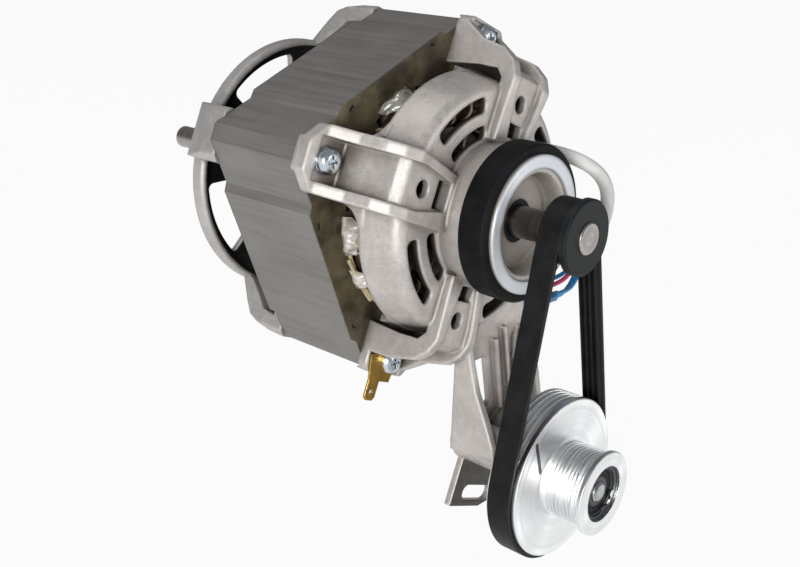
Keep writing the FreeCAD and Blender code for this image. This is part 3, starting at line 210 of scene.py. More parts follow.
# how far a bevelled normal turns from the flat one, as a mask of the piece's edges
edgeMask, entry, leave = startGroup(
    "edgeMask", [("Flat", "Vector", None), ("Rounded", "Vector", None), ("Strength", "Float", 6.0)],
    [("Mask", "Float")])
cosine = add(edgeMask, "ShaderNodeVectorMath", {0: entry["Flat"], 1: entry["Rounded"]},
             operation="DOT_PRODUCT").outputs["Value"]
edgeMask.links.new(maths(edgeMask, "MULTIPLY", maths(edgeMask, "SUBTRACT", 1.0, cosine),
                         entry["Strength"], clamp=True), leave["Mask"])

# wire 0.85 mm thick laid round the Y axis, in layers that wander by up to 16 wires, as a height
# that falls to nothing in the gaps
strands = {"wander": (130, 3, 0.6), "wanderWires": 16.0}
strandLay, entry, leave = startGroup(
    "strandLay", [("Vector", "Vector", None), ("Wire", "Float", 0.00085)],
    [("Height", "Float"), ("Layer", "Float")])
x, y, z = split(strandLay, entry["Vector"])
wander = noise(strandLay, entry["Vector"], *strands["wander"])
across = maths(strandLay, "DIVIDE", maths(strandLay, "ADD", fromAxis(strandLay, x, z), y),
               entry["Wire"])
wound = maths(strandLay, "ADD", across,
              maths(strandLay, "MULTIPLY", wander, strands["wanderWires"]))
strandLay.links.new(maths(strandLay, "ABSOLUTE", maths(
    strandLay, "SINE", maths(strandLay, "MULTIPLY", wound, math.pi))), leave["Height"])
strandLay.links.new(wander, leave["Layer"])
print("stage: shared node groups made")


# materials

# an empty material, and the object's own coordinates in metres
def startMaterial(name):
    material = bpy.data.materials.new(name)
    material.use_nodes = True
    tree = material.node_tree
    shader = tree.nodes["Principled BSDF"]
    where = tree.nodes.new("ShaderNodeTexCoord").outputs["Object"]
    return material, tree, shader, where


def bump(tree, shader, height, strength, distance, normal=None):
    node = add(tree, "ShaderNodeBump", {"Height": height, "Strength": strength,
                                        "Distance": distance})
    if normal is not None:
        tree.links.new(normal, node.inputs["Normal"])
    tree.links.new(node.outputs[0], shader.inputs["Normal"])


# the normal with its edges bevelled, and the mask of those edges
def roundedEdges(tree, radius):
    flat = add(tree, "ShaderNodeNewGeometry").outputs["Normal"]
    rounded = add(tree, "ShaderNodeBevel", {"Radius": radius}, samples=6).outputs[0]
    mask = useGroup(tree, edgeMask, Flat=flat, Rounded=rounded)["Mask"]
    return rounded, mask


# What only the front casting has: the hub's bright machined face, and painted shade in the hub's
# cup, inside the dome's wall and on the front of the slotted foot
def frontFinish(tree, where, look, colour, rough, height):
    cut, shadeInside = look["machined"], look["inside"]
    x, y, z = split(tree, where)
    reach = fromAxis(tree, x, z)
    # painted shade in the hub's cup: inside the cup the colour blends toward the shade colour
    cup = maths(tree, "MULTIPLY", step(tree, reach, cut["cup"], cut["cup"] - cut["cupSoft"]),
                maths(tree, "LESS_THAN", y, cut["cupFloor"]))
    colour = blendColour(tree, maths(tree, "MULTIPLY", cup, cut["tint"]), colour, look["paintedShade"])
    bright = maths(tree, "MULTIPLY", step(tree, y, cut["behind"], cut["ahead"]),
                   step(tree, reach, cut["from"], cut["from"] + cut["soft"]))
    marks = useGroup(tree, latheMarks, Vector=where, Rings=cut["rings"])
    shine = blendColour(tree, marks["Band"], cut["dim"], cut["bright"])
    colour = blendColour(tree, bright, colour, shine)
    rough = mixValue(tree, bright, rough, cut["roughness"])
    height = mixValue(tree, bright, height, marks["Height"])
    # painted shade past the dome's wall, where no light reaches inside the dome
    past = maths(tree, "SUBTRACT", y, shadeInside["from"])
    limit = maths(tree, "ADD", shadeInside["reach"], maths(tree, "MINIMUM", past, shadeInside["grow"]))
    domeShade = maths(tree, "MULTIPLY", step(tree, past, 0.0, shadeInside["soft"]),
                 maths(tree, "LESS_THAN", reach, limit))
    colour = blendColour(tree, domeShade, colour, shadeInside["colour"])
    # painted shade on the front of the slotted foot, below the foot line
    footShaded = maths(tree, "MULTIPLY", step(tree, z, shadeInside["foot"], shadeInside["foot"] - shadeInside["footSoft"]),
                    maths(tree, "LESS_THAN", y, shadeInside["footFront"]))
    return blendColour(tree, footShaded, colour, shadeInside["footShade"]), rough, height


# Casting: painted shade darkens the skin where the casting shelters itself, and its edges are
# painted pale
def castMaterial(name, look):
    material, tree, shader, where = startMaterial(name)
    rounded, mask = roundedEdges(tree, look["edgeRadius"])
    skin = useGroup(tree, castSkin, Vector=where, Pale=look["pale"], Dark=look["dark"],
                    Grain=look["grain"])
    # painted shade: where ambient occlusion finds the casting sheltered, the skin blends toward a
    # shade colour
    exposed = add(tree, "ShaderNodeAmbientOcclusion", {"Distance": look["shelter"]},
                  samples=8).outputs["AO"]
    unshaded = step(tree, exposed, *look["unshaded"])
    colour = blendColour(tree, unshaded, look["paintedShade"], skin["Color"])
    # edges painted pale: partly wear, partly painted highlight
    colour = blendColour(tree, maths(tree, "MULTIPLY", mask, look["edgeWearAndSheen"]), colour, look["wornAndSheen"])
    rough, height = skin["Roughness"], skin["Height"]
    if "machined" in look:
        colour, rough, height = frontFinish(tree, where, look, colour, rough, height)
    tree.links.new(colour, shader.inputs["Base Color"])
    tree.links.new(rough, shader.inputs["Roughness"])
    shader.inputs["Metallic"].default_value = look["metal"]
    bump(tree, shader, height, look["bump"], look["depth"], rounded)
    return material


# the darkest colour of castLook stands for painted shade in sheltered places
castLook = {"pale": (0.58, 0.545, 0.512, 1), "dark": (0.43, 0.40, 0.372, 1),
            "paintedShade": (0.13, 0.11, 0.09, 1), "shelter": 0.009, "unshaded": (0.25, 0.95),
            "wornAndSheen": (0.86, 0.83, 0.80, 1), "edgeWearAndSheen": 0.35, "grain": 1.0, "metal": 0.5,
            "bump": 0.45, "depth": 0.0003, "edgeRadius": 0.0018}
# in hubFace, the cup's share is how much painted shade darkens the hub's cup
hubFace = {"ahead": -0.00705, "behind": -0.0066, "from": 0.0187, "soft": 0.0002, "cup": 0.0192,
           "cupSoft": 0.0006, "cupFloor": 0.004, "tint": 0.45, "dim": (0.62, 0.655, 0.69, 1),
           "bright": (0.78, 0.805, 0.84, 1), "roughness": 0.34, "rings": 3200.0}
# domeInside: painted shade inside the dome and on the front of the slotted foot
domeInside = {"from": 0.0166, "reach": 0.0449, "grow": 0.0034, "soft": 0.0012,
              "colour": (0.055, 0.045, 0.036, 1), "foot": -0.1015, "footSoft": 0.001,
              "footFront": 0.0150, "footShade": (0.062, 0.055, 0.044, 1)}
frontCast = castMaterial("frontCasting", castLook | {"machined": hubFace, "inside": domeInside})
rearCast = castMaterial("rearCasting", castLook | {
    "pale": (0.51, 0.488, 0.47, 1), "dark": (0.38, 0.365, 0.35, 1),
    "wornAndSheen": (0.56, 0.54, 0.52, 1)})
# the rotor's rings are painted dark: partly dirt, partly painted shade, as they sit inside the
# motor
rotorCast = castMaterial("rotorCasting", castLook | {
    "grain": 0.6, "pale": (0.20, 0.18, 0.16, 1), "dark": (0.11, 0.10, 0.09, 1)})


# Stator stack: streaked sheet edges on its sides with paler patches of painted sheen, and stained
# varnish on both its end faces
def sheetMaterial(name, look):
    material, tree, shader, where = startMaterial(name)
    rounded, mask = roundedEdges(tree, look["edgeRadius"])
    y = split(tree, where)[1]
    stack = useGroup(tree, sheetStack, Vector=where, Sheets=look["sheets"])
    side = blendColour(tree, step(tree, stack["Streak"], *look["streak"]), look["sideDark"],
                       look["sidePale"])
    gap = maths(tree, "MULTIPLY", stack["Line"], look["gapShare"])
    side = blendColour(tree, gap, side, look["gap"])
    # paler patches on the sides are painted sheen
    sheenPatch = step(tree, noise(tree, where, *look["bands"]), *look["sheenPatch"])
    side = blendColour(tree, sheenPatch, side, look["wornAndSheen"])
    tint = step(tree, noise(tree, where, *look["stains"]), *look["stained"])
    varnish = blendColour(tree, tint, look["faceDark"], look["facePale"])
    near, far = look["reach"]
    ends = maths(tree, "ADD", step(tree, y, look["front"] + far, look["front"] + near),
                 step(tree, y, look["back"] - far, look["back"] - near), clamp=True)
    colour = blendColour(tree, ends, side, varnish)
    # edges painted pale: partly wear, partly painted highlight
    colour = blendColour(tree, maths(tree, "MULTIPLY", mask, look["edgeWearAndSheen"]), colour, look["wornAndSheen"])
    tree.links.new(colour, shader.inputs["Base Color"])
    tree.links.new(step(tree, stack["Streak"], *look["rough"]), shader.inputs["Roughness"])
    shader.inputs["Metallic"].default_value = look["metal"]
    bump(tree, shader, stack["Height"], look["bump"], look["depth"], rounded)
    return material


statorSheets = sheetMaterial("statorSheets", {
    "front": 0.0449, "back": 0.0910, "reach": (0.0001, 0.0006), "sheets": 2000.0,
    "streak": (0.32, 0.68), "sideDark": (0.155, 0.149, 0.141, 1),
    "sidePale": (0.215, 0.208, 0.196, 1), "gap": (0.10, 0.095, 0.09, 1), "gapShare": 0.2,
    "bands": (34, 3, 0.5), "sheenPatch": (0.35, 0.7, 0.0, 0.35), "wornAndSheen": (0.26, 0.25, 0.235, 1),
    "edgeWearAndSheen": 0.4, "stains": (60, 4, 0.6), "stained": (0.35, 0.66),
    "faceDark": (0.042, 0.033, 0.021, 1), "facePale": (0.15, 0.125, 0.072, 1),
    "rough": (0.3, 0.7, 0.4, 0.52), "metal": 0.4, "bump": 0.14, "depth": 0.0002,
    "edgeRadius": 0.0005})


# Turned part: rings round its own axis, which lies "drop" below the motor's. A turned face
# stretches its highlights across the cut, so the tangent runs round the axis.
def latheMaterial(name, look):
    material, tree, shader, where = startMaterial(name)
    centred = add(tree, "ShaderNodeMapping", {"Vector": where, "Location": (0, 0, look["drop"])})
    rounded, mask = roundedEdges(tree, look["edgeRadius"])
    marks = useGroup(tree, latheMarks, Vector=centred.outputs[0], Rings=look["rings"])
    band = step(tree, marks["Band"], *look["band"])
    colour = blendColour(tree, band, look["dim"], look["bright"])
    # edges painted near white: partly wear, partly painted highlight
    colour = blendColour(tree, maths(tree, "MULTIPLY", mask, look["edgeWearAndSheen"]), colour, look["edge"])
    tree.links.new(colour, shader.inputs["Base Color"])
    tree.links.new(step(tree, marks["Band"], *look["band"], *look["rough"]),
                   shader.inputs["Roughness"])
    shader.inputs["Metallic"].default_value = look["metal"]
    shader.inputs["Specular IOR Level"].default_value = look["gloss"]
    bump(tree, shader, marks["Height"], look["bump"], look["depth"], rounded)
    x, _, z = split(tree, centred.outputs[0])
    tangent = add(tree, "ShaderNodeVectorTransform", {
        "Vector": join(tree, z, 0.0, maths(tree, "MULTIPLY", x, -1.0))},
        vector_type="VECTOR", convert_from="OBJECT", convert_to="WORLD")
    tree.links.new(tangent.outputs[0], shader.inputs["Tangent"])
    shader.inputs["Anisotropic"].default_value = look["stretch"]
    return material


turnedLook = {"drop": 0.0955, "rings": 3600.0, "band": (0.3, 0.7),
              "dim": (0.79, 0.795, 0.80, 1), "bright": (0.92, 0.925, 0.93, 1),
              "edge": (0.95, 0.95, 0.95, 1), "rough": (0.26, 0.36), "metal": 1.0, "bump": 0.1,
              "depth": 0.0001, "edgeWearAndSheen": 0.5, "edgeRadius": 0.0003, "stretch": 0.85,
              "gloss": 0.5}
turnedAluminium = latheMaterial("turnedAluminium", turnedLook)
groundShaft = latheMaterial("groundShaft", turnedLook | {
    "drop": 0.0, "dim": (0.33, 0.31, 0.295, 1), "bright": (0.43, 0.41, 0.39, 1),
    "edge": (0.6, 0.58, 0.56, 1), "rough": (0.3, 0.38), "rings": 2600.0, "stretch": 0.5,
    "bump": 0.04})
axleSteel = latheMaterial("axleSteel", turnedLook | {
    "dim": (0.30, 0.30, 0.30, 1), "bright": (0.50, 0.50, 0.50, 1), "edge": (0.7, 0.7, 0.7, 1),
    "rough": (0.2, 0.36)})
darkSteel = latheMaterial("darkSteel", turnedLook | {
    "dim": (0.04, 0.04, 0.042, 1), "bright": (0.09, 0.09, 0.095, 1), "edge": (0.3, 0.3, 0.31, 1),
    "rough": (0.3, 0.45), "metal": 0.6})
ringSteel = latheMaterial("ringSteel", turnedLook | {
    "drop": 0.0, "dim": (0.40, 0.41, 0.42, 1), "bright": (0.58, 0.59, 0.60, 1)})
blackPulley = latheMaterial("blackenedPulley", turnedLook | {
    "drop": 0.0, "dim": (0.008, 0.0085, 0.009, 1), "bright": (0.014, 0.0145, 0.016, 1),
    "edge": (0.09, 0.09, 0.095, 1), "rough": (0.42, 0.55), "metal": 0.1, "rings": 2000.0,
    "stretch": 0.2, "gloss": 0.2})


# Moulded, drawn or plated part: one colour that smudges toward a second, with edges painted paler,
# as wear and as painted highlight
def mouldMaterial(name, look):
    material, tree, shader, where = startMaterial(name)
    rounded, mask = roundedEdges(tree, look["edgeRadius"])
    skin = useGroup(tree, mouldSkin, Vector=where, Pores=look["pores"],
                    Sheen_Low=look["rough"][0], Sheen_High=look["rough"][1])
    smudged = step(tree, skin["Smudge"], *look["smudged"])
    colour = blendColour(tree, smudged, look["dark"], look["pale"])
    # edges painted paler: partly wear, partly painted highlight
    colour = blendColour(tree, maths(tree, "MULTIPLY", mask, look["edgeWearAndSheen"]), colour, look["wornAndSheen"])
    tree.links.new(colour, shader.inputs["Base Color"])
    tree.links.new(skin["Roughness"], shader.inputs["Roughness"])
    shader.inputs["Metallic"].default_value = look["metal"]
    shader.inputs["Specular IOR Level"].default_value = look["gloss"]
    bump(tree, shader, skin["Height"], look["bump"], look["depth"], rounded)
    return material


rubberLook = {"dark": (0.006, 0.006, 0.0065, 1), "pale": (0.011, 0.011, 0.012, 1),
              "wornAndSheen": (0.045, 0.045, 0.048, 1), "edgeWearAndSheen": 0.5, "smudged": (0.34, 0.66),
              "pores": 2400.0, "rough": (0.42, 0.58), "bump": 0.12, "depth": 0.0002,
              "edgeRadius": 0.0008, "metal": 0.0, "gloss": 0.13}
ringRubber = mouldMaterial("ringRubber", rubberLook | {"gloss": 0.06})
beltRubber = mouldMaterial("beltRubber", rubberLook | {
    "dark": (0.007, 0.007, 0.0075, 1), "pale": (0.013, 0.013, 0.014, 1), "rough": (0.42, 0.56),
    "edgeRadius": 0.0004})
blackPolymer = mouldMaterial("blackPolymer", rubberLook | {"rough": (0.4, 0.55)})
lacing = mouldMaterial("lacingCord", rubberLook | {
    "dark": (0.30, 0.24, 0.15, 1), "pale": (0.48, 0.41, 0.29, 1), "wornAndSheen": (0.6, 0.55, 0.42, 1),
    "rough": (0.5, 0.65)})
leadYellow = mouldMaterial("yellowSleeving", rubberLook | {
    "dark": (0.30, 0.25, 0.13, 1), "pale": (0.46, 0.40, 0.25, 1), "wornAndSheen": (0.55, 0.5, 0.38, 1),
    "rough": (0.45, 0.6)})

glossyLook = rubberLook | {"gloss": 0.5}
zincPlate = mouldMaterial("zincPlate", glossyLook | {
    "dark": (0.50, 0.56, 0.62, 1), "pale": (0.68, 0.74, 0.79, 1), "wornAndSheen": (0.9, 0.93, 0.95, 1),
    "metal": 1.0, "rough": (0.18, 0.34), "bump": 0.1})
brassPlate = mouldMaterial("brassPlate", glossyLook | {
    "dark": (0.27, 0.15, 0.03, 1), "pale": (0.45, 0.28, 0.06, 1), "wornAndSheen": (0.7, 0.5, 0.18, 1),
    "metal": 1.0, "rough": (0.26, 0.42)})
sleeveSkin = mouldMaterial("sleeveSkin", glossyLook | {
    "dark": (0.66, 0.655, 0.62, 1), "pale": (0.76, 0.755, 0.73, 1), "wornAndSheen": (0.8, 0.8, 0.78, 1),
    "rough": (0.42, 0.56), "pores": 1500.0, "bump": 0.16})
blueSkin = mouldMaterial("blueInsulation", glossyLook | {
    "dark": (0.0, 0.16, 0.42, 1), "pale": (0.01, 0.30, 0.66, 1), "wornAndSheen": (0.2, 0.5, 0.8, 1),
    "rough": (0.3, 0.4)})
redSkin = mouldMaterial("redInsulation", glossyLook | {
    "dark": (0.42, 0.015, 0.07, 1), "pale": (0.62, 0.03, 0.13, 1), "wornAndSheen": (0.8, 0.2, 0.3, 1),
    "rough": (0.3, 0.4)})


# Varnished winding: copper strands under a clear coat, dark in the gaps between them
def coilMaterial(name, look):
    material, tree, shader, where = startMaterial(name)
    lay = useGroup(tree, strandLay, Vector=where, Wire=look["wire"])
    copper = blendColour(tree, step(tree, lay["Layer"], *look["layer"]), look["dark"],
                         look["pale"])
    colour = blendColour(tree, step(tree, lay["Height"], *look["sunk"]), copper, look["gap"])
    tree.links.new(colour, shader.inputs["Base Color"])
    shader.inputs["Roughness"].default_value = look["rough"]
    shader.inputs["Metallic"].default_value = look["metal"]
    shader.inputs["Coat Weight"].default_value = look["coat"]
    bump(tree, shader, lay["Height"], look["bump"], look["depth"])
    return material


varnishedCoil = coilMaterial("varnishedCoil", {
    "wire": 0.00085, "layer": (0.35, 0.65), "dark": (0.05, 0.02, 0.009, 1),
    "pale": (0.12, 0.052, 0.022, 1), "sunk": (0.5, 0.05), "gap": (0.010, 0.006, 0.0035, 1),
    "rough": 0.34, "metal": 0.45, "coat": 0.6, "bump": 0.8, "depth": 0.0004})


# Slot film: a cloudy sheet that lets a quarter of the light through
def filmMaterial(name, look):
    material, tree, shader, where = startMaterial(name)
    cloudy = step(tree, noise(tree, where, *look["clouds"]), *look["cloudy"])
    tree.links.new(blendColour(tree, cloudy, look["dark"], look["pale"]),
                   shader.inputs["Base Color"])
    shader.inputs["Roughness"].default_value = look["rough"]
    shader.inputs["Transmission Weight"].default_value = look["clear"]
    bump(tree, shader, noise(tree, where, *look["dents"]), look["bump"], look["depth"])
    return material


filmLook = {"dark": (0.30, 0.26, 0.20, 1), "pale": (0.62, 0.59, 0.54, 1),
            "clouds": (160, 4, 0.65), "cloudy": (0.35, 0.65), "dents": (300, 2, 0.5),
            "rough": 0.24, "clear": 0.25, "bump": 0.25, "depth": 0.0005}
slotFilm = filmMaterial("slotFilm", filmLook)
dullFilm = filmMaterial("dullFilm", filmLook | {
    "dark": (0.10, 0.09, 0.065, 1), "pale": (0.33, 0.32, 0.27, 1)})
print("stage: materials made")

nodeFinish = {
    "mounting_ring": ringRubber, "front_shield": frontCast, "rear_shield": rearCast,
    "stator_core": statorSheets, "rotor_core": statorSheets, "front_winding": varnishedCoil,
    "rear_winding": varnishedCoil, "rear_liner": blackPolymer, "earth_tab": brassPlate,
    "shaft_seal": blackPolymer, "motor_shaft": groundShaft, "rotor_front_ring": rotorCast,
    "rotor_rear_ring": rotorCast, "motor_pulley": blackPulley,
    "reduction_pulley": turnedAluminium, "pulley_seal": blackPolymer, "pulley_axle": axleSteel,
    "bearing_circlip": darkSteel, "pulley_front_bearing_outer_ring": darkSteel,
    "pulley_front_bearing_balls": blackPolymer, "pulley_front_bearing_inner_ring": darkSteel,
    "drive_belt": beltRubber, "lead_collar": blackPolymer, "lead_sleeve": sleeveSkin,
    "lead_wire_1": blueSkin, "lead_wire_2": blueSkin, "lead_wire_3": blueSkin,
    "lead_wire_4": redSkin}
familyFinish = {"corner_": zincPlate, "lead_terminal_": brassPlate}
for name, obj in nodes.items():
    finish = nodeFinish.get(name, ringSteel)
    for stem, shared in familyFinish.items():
        if name.startswith(stem):
            finish = shared
    obj.data.materials.clear()
    obj.data.materials.append(finish)
print("stage: CAD nodes finished")


# pieces built as numpy surfaces; each is worked out at its place in millimetres

# a mesh from points and faces, with its body and what it replaces
def tidyMesh(name, points, faces, look):
    mesh = bpy.data.meshes.new(name)
    mesh.from_pydata((np.asarray(points, float) * mm).tolist(), [], faces)
    mesh.materials.append(look["finish"])
    if look.get("smooth", True):
        mesh.shade_smooth()
    obj = bpy.data.objects.new(name, mesh)
    bpy.context.scene.collection.objects.link(obj)
    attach(obj, look["body"])
    if "replaces" in look:
        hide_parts(look["replaces"])
    return obj


# quads of a grid of rows by columns, either way closed on itself or open
def gridFaces(rows, columns, rowsClosed=False, columnsClosed=False, start=0):
    row, column = np.meshgrid(np.arange(rows if rowsClosed else rows - 1),
                              np.arange(columns if columnsClosed else columns - 1), indexing="ij")
    nextRow, nextColumn = (row + 1) % rows, (column + 1) % columns
    quads = np.stack([row * columns + column, row * columns + nextColumn,
                      nextRow * columns + nextColumn, nextRow * columns + column], -1)
    return (quads.reshape(-1, 4) + start).tolist()


# skin of a tube of rings, closed by one face at either end
def tubeFaces(rings, sides):
    faces = [face[::-1] for face in gridFaces(rings, sides, False, True)]
    faces.append(list(range(sides)))
    faces.append([(rings - 1) * sides + k for k in range(sides - 1, -1, -1)])
    return faces


# power 2 keeps a round section round, and a higher one squares it
def squared(value, power):
    return np.sign(value) * np.abs(value) ** (2 / power)


# a smooth unevenness near -1..1: the mean of waves of one length in chance directions
def unevenness(points, length, seed, waves=9):
    chance = np.random.default_rng(seed)
    heading = chance.normal(size=(waves, 3))
    heading /= np.linalg.norm(heading, axis=1, keepdims=True)
    turn = points @ heading.T * (2 * np.pi / length) + chance.uniform(0, 2 * np.pi, waves)
    return np.sin(turn).mean(axis=-1) * 2.2


# Winding head: a ring whose section is a squared round of power 3, pinched by its lacing every
# 15 degrees and sunk unevenly between by up to 0.9 mm, on waves of 11 mm and of 4.5 mm
def windingHead(name, look):
    turn = np.linspace(0, 2 * np.pi, look["around"], endpoint=False)[:, None]
    section = np.linspace(0, 2 * np.pi, look["across"], endpoint=False)[None, :]
    middle, half = (look["inner"] + look["outer"]) / 2, (look["outer"] - look["inner"]) / 2
    centre = look["from"] + look["toward"] * look["length"] / 2
    pinch = np.cos(turn * look["laces"] / 2) ** look["narrow"] * look["pinch"]
    reach = middle + (half - pinch) * squared(np.cos(section), look["power"])
    along = centre + look["toward"] * squared(np.sin(section), look["power"]) * (
        look["length"] / 2 - pinch / 2)
    points = np.stack([reach * np.cos(turn), along + 0 * turn, reach * np.sin(turn)], -1)
    heap = (unevenness(points, look["waves"][0], look["seed"]) * look["heaps"][0]
            + unevenness(points, look["waves"][1], look["waveSeed"]) * look["heaps"][1])
    inward = np.clip(heap, *look["heapRange"])[..., None]
    spine = np.stack([middle * np.cos(turn) + 0 * section, centre + 0 * along,
                      middle * np.sin(turn) + 0 * section], -1)
    away = points - spine
    points = points + away / np.linalg.norm(away, axis=-1, keepdims=True) * inward
    faces = gridFaces(look["around"], look["across"], True, True)
    if look["toward"] > 0:
        faces = [face[::-1] for face in faces]
    tidyMesh(name, points.reshape(-1, 3), faces, look)


coilLook = {"inner": 33.3, "outer": 46.2, "length": 20.0, "power": 3, "laces": 24,
            "pinch": 0.5, "narrow": 12, "waves": (11.0, 4.5), "heaps": (0.45, 0.2),
            "waveSeed": 7, "heapRange": (-0.9, 0.25), "around": 480, "across": 72,
            "finish": varnishedCoil, "slot": "winding", "body": "motor_frame"}
windingHead("frontCoilHead", coilLook | {"from": 44.8, "toward": -1, "seed": 3,
                                         "replaces": "front_winding"})
windingHead("rearCoilHead", coilLook | {"from": 91.1, "toward": 1, "seed": 5,
                                        "replaces": "rear_winding"})


# Lacing: round each winding head one loop of cord in every pinch, a tube of 0.5 mm radius on the
# head's own squared section
def lacingLoops(name, look):
    points, faces = [], []
    long, narrow = look["steps"]
    section = np.linspace(0, 2 * np.pi, long, endpoint=False)[:, None]
    tube = np.linspace(0, 2 * np.pi, narrow, endpoint=False)[None, :]
    middle = (look["inner"] + look["outer"]) / 2
    half = (look["outer"] - look["inner"]) / 2 - look["sink"][0]
    swell = 1 + look["thick"] * np.cos(tube) / half
    reach = middle + half * squared(np.cos(section), look["power"]) * swell
    along = squared(np.sin(section), look["power"]) * (look["length"] / 2 - look["sink"][1]) * swell
    side = look["thick"] * np.sin(tube) + 0 * section
    y = look["from"] + look["toward"] * (look["length"] / 2 + along)
    for k in range(look["laces"]):
        turn = 2 * np.pi * k / look["laces"]
        points.append(np.stack([reach * np.cos(turn) - side * np.sin(turn), y,
                                reach * np.sin(turn) + side * np.cos(turn)], -1).reshape(-1, 3))
        loop = gridFaces(long, narrow, True, True, start=long * narrow * k)
        faces += loop if look["toward"] < 0 else [face[::-1] for face in loop]
    tidyMesh(name, np.concatenate(points), faces, look)


laceLook = coilLook | {"thick": 0.5, "sink": (0.25, 0.2), "steps": (40, 8), "finish": lacing}
lacingLoops("frontLacing", laceLook | {"from": 44.8, "toward": -1})
lacingLoops("rearLacing", laceLook | {"from": 91.1, "toward": 1})


# Slot film: a crumpled sheet that leans out of the stator round the winding. Across its width it
# bows outward, toward its free edge it curls in, and folds of 11 and of 5 mm crumple it.
def filmCuff(name, look):
    rows, columns = look["grid"]
    across = np.linspace(-1, 1, rows)[:, None]
    along = np.linspace(0, 1, columns)[None, :]
    turn = np.radians(look["middle"] + look["half"] * across)
    bow = look["bow"] * np.sin(along * np.pi) * (1 - across ** 2)
    reach = look["reach"] + bow - look["curl"] * along ** 2
    edge = 1 - look["round"] * across ** 2 + look["ripple"] * np.sin(across * look["ripples"])
    y = look["foot"] - look["length"] * along * edge
    points = np.stack([reach * np.cos(turn), y + 0 * turn, reach * np.sin(turn)], -1)
    coarse = np.abs(unevenness(points, look["folds"][0], look["seed"]))
    fine = np.abs(unevenness(points, look["folds"][1], look["seed"] + 1))
    crumple = (coarse + look["fine"] * fine) * look["crumple"]
    outward = np.stack([np.cos(turn), 0 * turn, np.sin(turn)], -1)
    front = points + outward * (crumple * np.minimum(1, along * look["freed"]))[..., None]
    back = front - outward * look["thick"]
    corners = np.concatenate([front.reshape(-1, 3), back.reshape(-1, 3)])
    count = rows * columns
    faces = gridFaces(rows, columns)
    faces += [[corner + count for corner in face[::-1]] for face in faces]
    rim = [k * columns for k in range(rows)] + [(rows - 1) * columns + k for k in range(1, columns)]
    rim += [k * columns + columns - 1 for k in range(rows - 2, -1, -1)]
    rim += [k for k in range(columns - 2, 0, -1)]
    for here, there in zip(rim, rim[1:] + rim[:1]):
        faces.append([there, here, here + count, there + count])
    tidyMesh(name, corners, faces, look)


cuffLook = {"foot": 44.95, "reach": 47.6, "bow": 2.6, "curl": 1.6, "length": 9.4, "round": 0.55,
            "ripple": 0.12, "ripples": 7, "folds": (11.0, 5.0), "fine": 0.25, "crumple": 1.1,
            "freed": 4, "thick": 0.2, "grid": (49, 33), "body": "motor_frame", "slot": "winding"}
for number, (middle, half) in enumerate([(187, 9), (119, 10), (210, 6), (30, 8), (62, 9),
                                         (301, 10), (262, 7), (336, 6)], 1):
    filmCuff("slotFilm%d" % number, cuffLook | {
        "middle": middle, "half": half, "seed": number,
        "finish": dullFilm if number == 2 else slotFilm})


# A tube of one radius along a route: points on a smooth run through the route's corners, carried
# as rings square to the run and closed by a fan at either end
def layTube(name, look):
    route = np.asarray(look["route"], float)
    knots = np.linspace(0, len(route) - 1, look["steps"])
    k = np.clip(knots.astype(int), 0, len(route) - 2)
    part = (knots - k)[:, None]
    before, here = route[np.maximum(k - 1, 0)], route[k]
    there, after = route[k + 1], route[np.minimum(k + 2, len(route) - 1)]
    run = 0.5 * (2 * here + (there - before) * part + (2 * before - 5 * here + 4 * there - after)
                 * part ** 2 + (3 * here - before - 3 * there + after) * part ** 3)
    heading = np.gradient(run, axis=0)
    heading /= np.linalg.norm(heading, axis=1, keepdims=True)
    side = np.cross(heading, (0.0, 1.0, 0.0))
    side /= np.linalg.norm(side, axis=1, keepdims=True)
    over = np.cross(heading, side)
    turn = np.linspace(0, 2 * np.pi, look["sides"], endpoint=False)[None, :, None]
    rings = run[:, None] + look["radius"] * (np.cos(turn) * side[:, None]
                                             + np.sin(turn) * over[:, None])
    tidyMesh(name, rings.reshape(-1, 3), tubeFaces(look["steps"], look["sides"]), look)


# corners on an arc round the motor's axis, from the first to the last of two reaches, levels and
# angles
def ringRoute(reach, y, first, last, count=6):
    return [(r * math.cos(math.radians(a)), level, r * math.sin(math.radians(a)))
            for a, r, level in zip(np.linspace(first, last, count), np.linspace(*reach, count),
                                   np.linspace(*y, count))]


phaseLook = {"radius": 0.8, "steps": 60, "sides": 16, "finish": leadYellow,
             "body": "motor_frame", "slot": "winding"}
layTube("phaseLead1", phaseLook | {"route": ringRoute((46.6, 48.6), (43.4, 40.4), 196, 222)})
layTube("phaseLead2", phaseLook | {"route": ringRoute((48.4, 47.4), (42.6, 38.6), 198, 228)})
print("stage: windings, film and lacing made")


# Interlock marks: where the sheets of the stack are pressed together, small dents, drawn as dark
# blocks 0.06 mm proud, two to each corner of the stack and on both of its faces
def lockMarks(name, look):
    points, faces = [], []
    for y in look["levels"]:
        for k in range(4):
            for lean in look["leans"]:
                turn = math.radians(look["arm"] + 90 * k + lean)
                outward = np.array([math.cos(turn), 0.0, math.sin(turn)])
                tangent = np.array([-math.sin(turn), 0.0, math.cos(turn)])
                start = len(points)
                for corner in range(8):
                    a, b, c = [1 if corner >> bit & 1 else -1 for bit in range(3)]
                    points.append(outward * (look["reach"] + a * look["wide"] / 2)
                                  + tangent * b * look["tall"] / 2
                                  + np.array([0.0, y + c * look["proud"], 0.0]))
                for face in ((0, 1, 3, 2), (4, 6, 7, 5), (0, 4, 5, 1), (2, 3, 7, 6), (0, 2, 6, 4),
                             (1, 5, 7, 3)):
                    faces.append([start + corner for corner in face])
    tidyMesh(name, points, faces, look)


lockMarks("interlockMarks", {"levels": (44.9, 91.0), "leans": (-20.5, 22.5), "arm": 67.5,
                             "reach": 59.4, "wide": 1.0, "tall": 2.6, "proud": 0.06,
                             "smooth": False, "finish": blackPolymer, "body": "motor_frame",
                             "slot": "lamination_steel"})


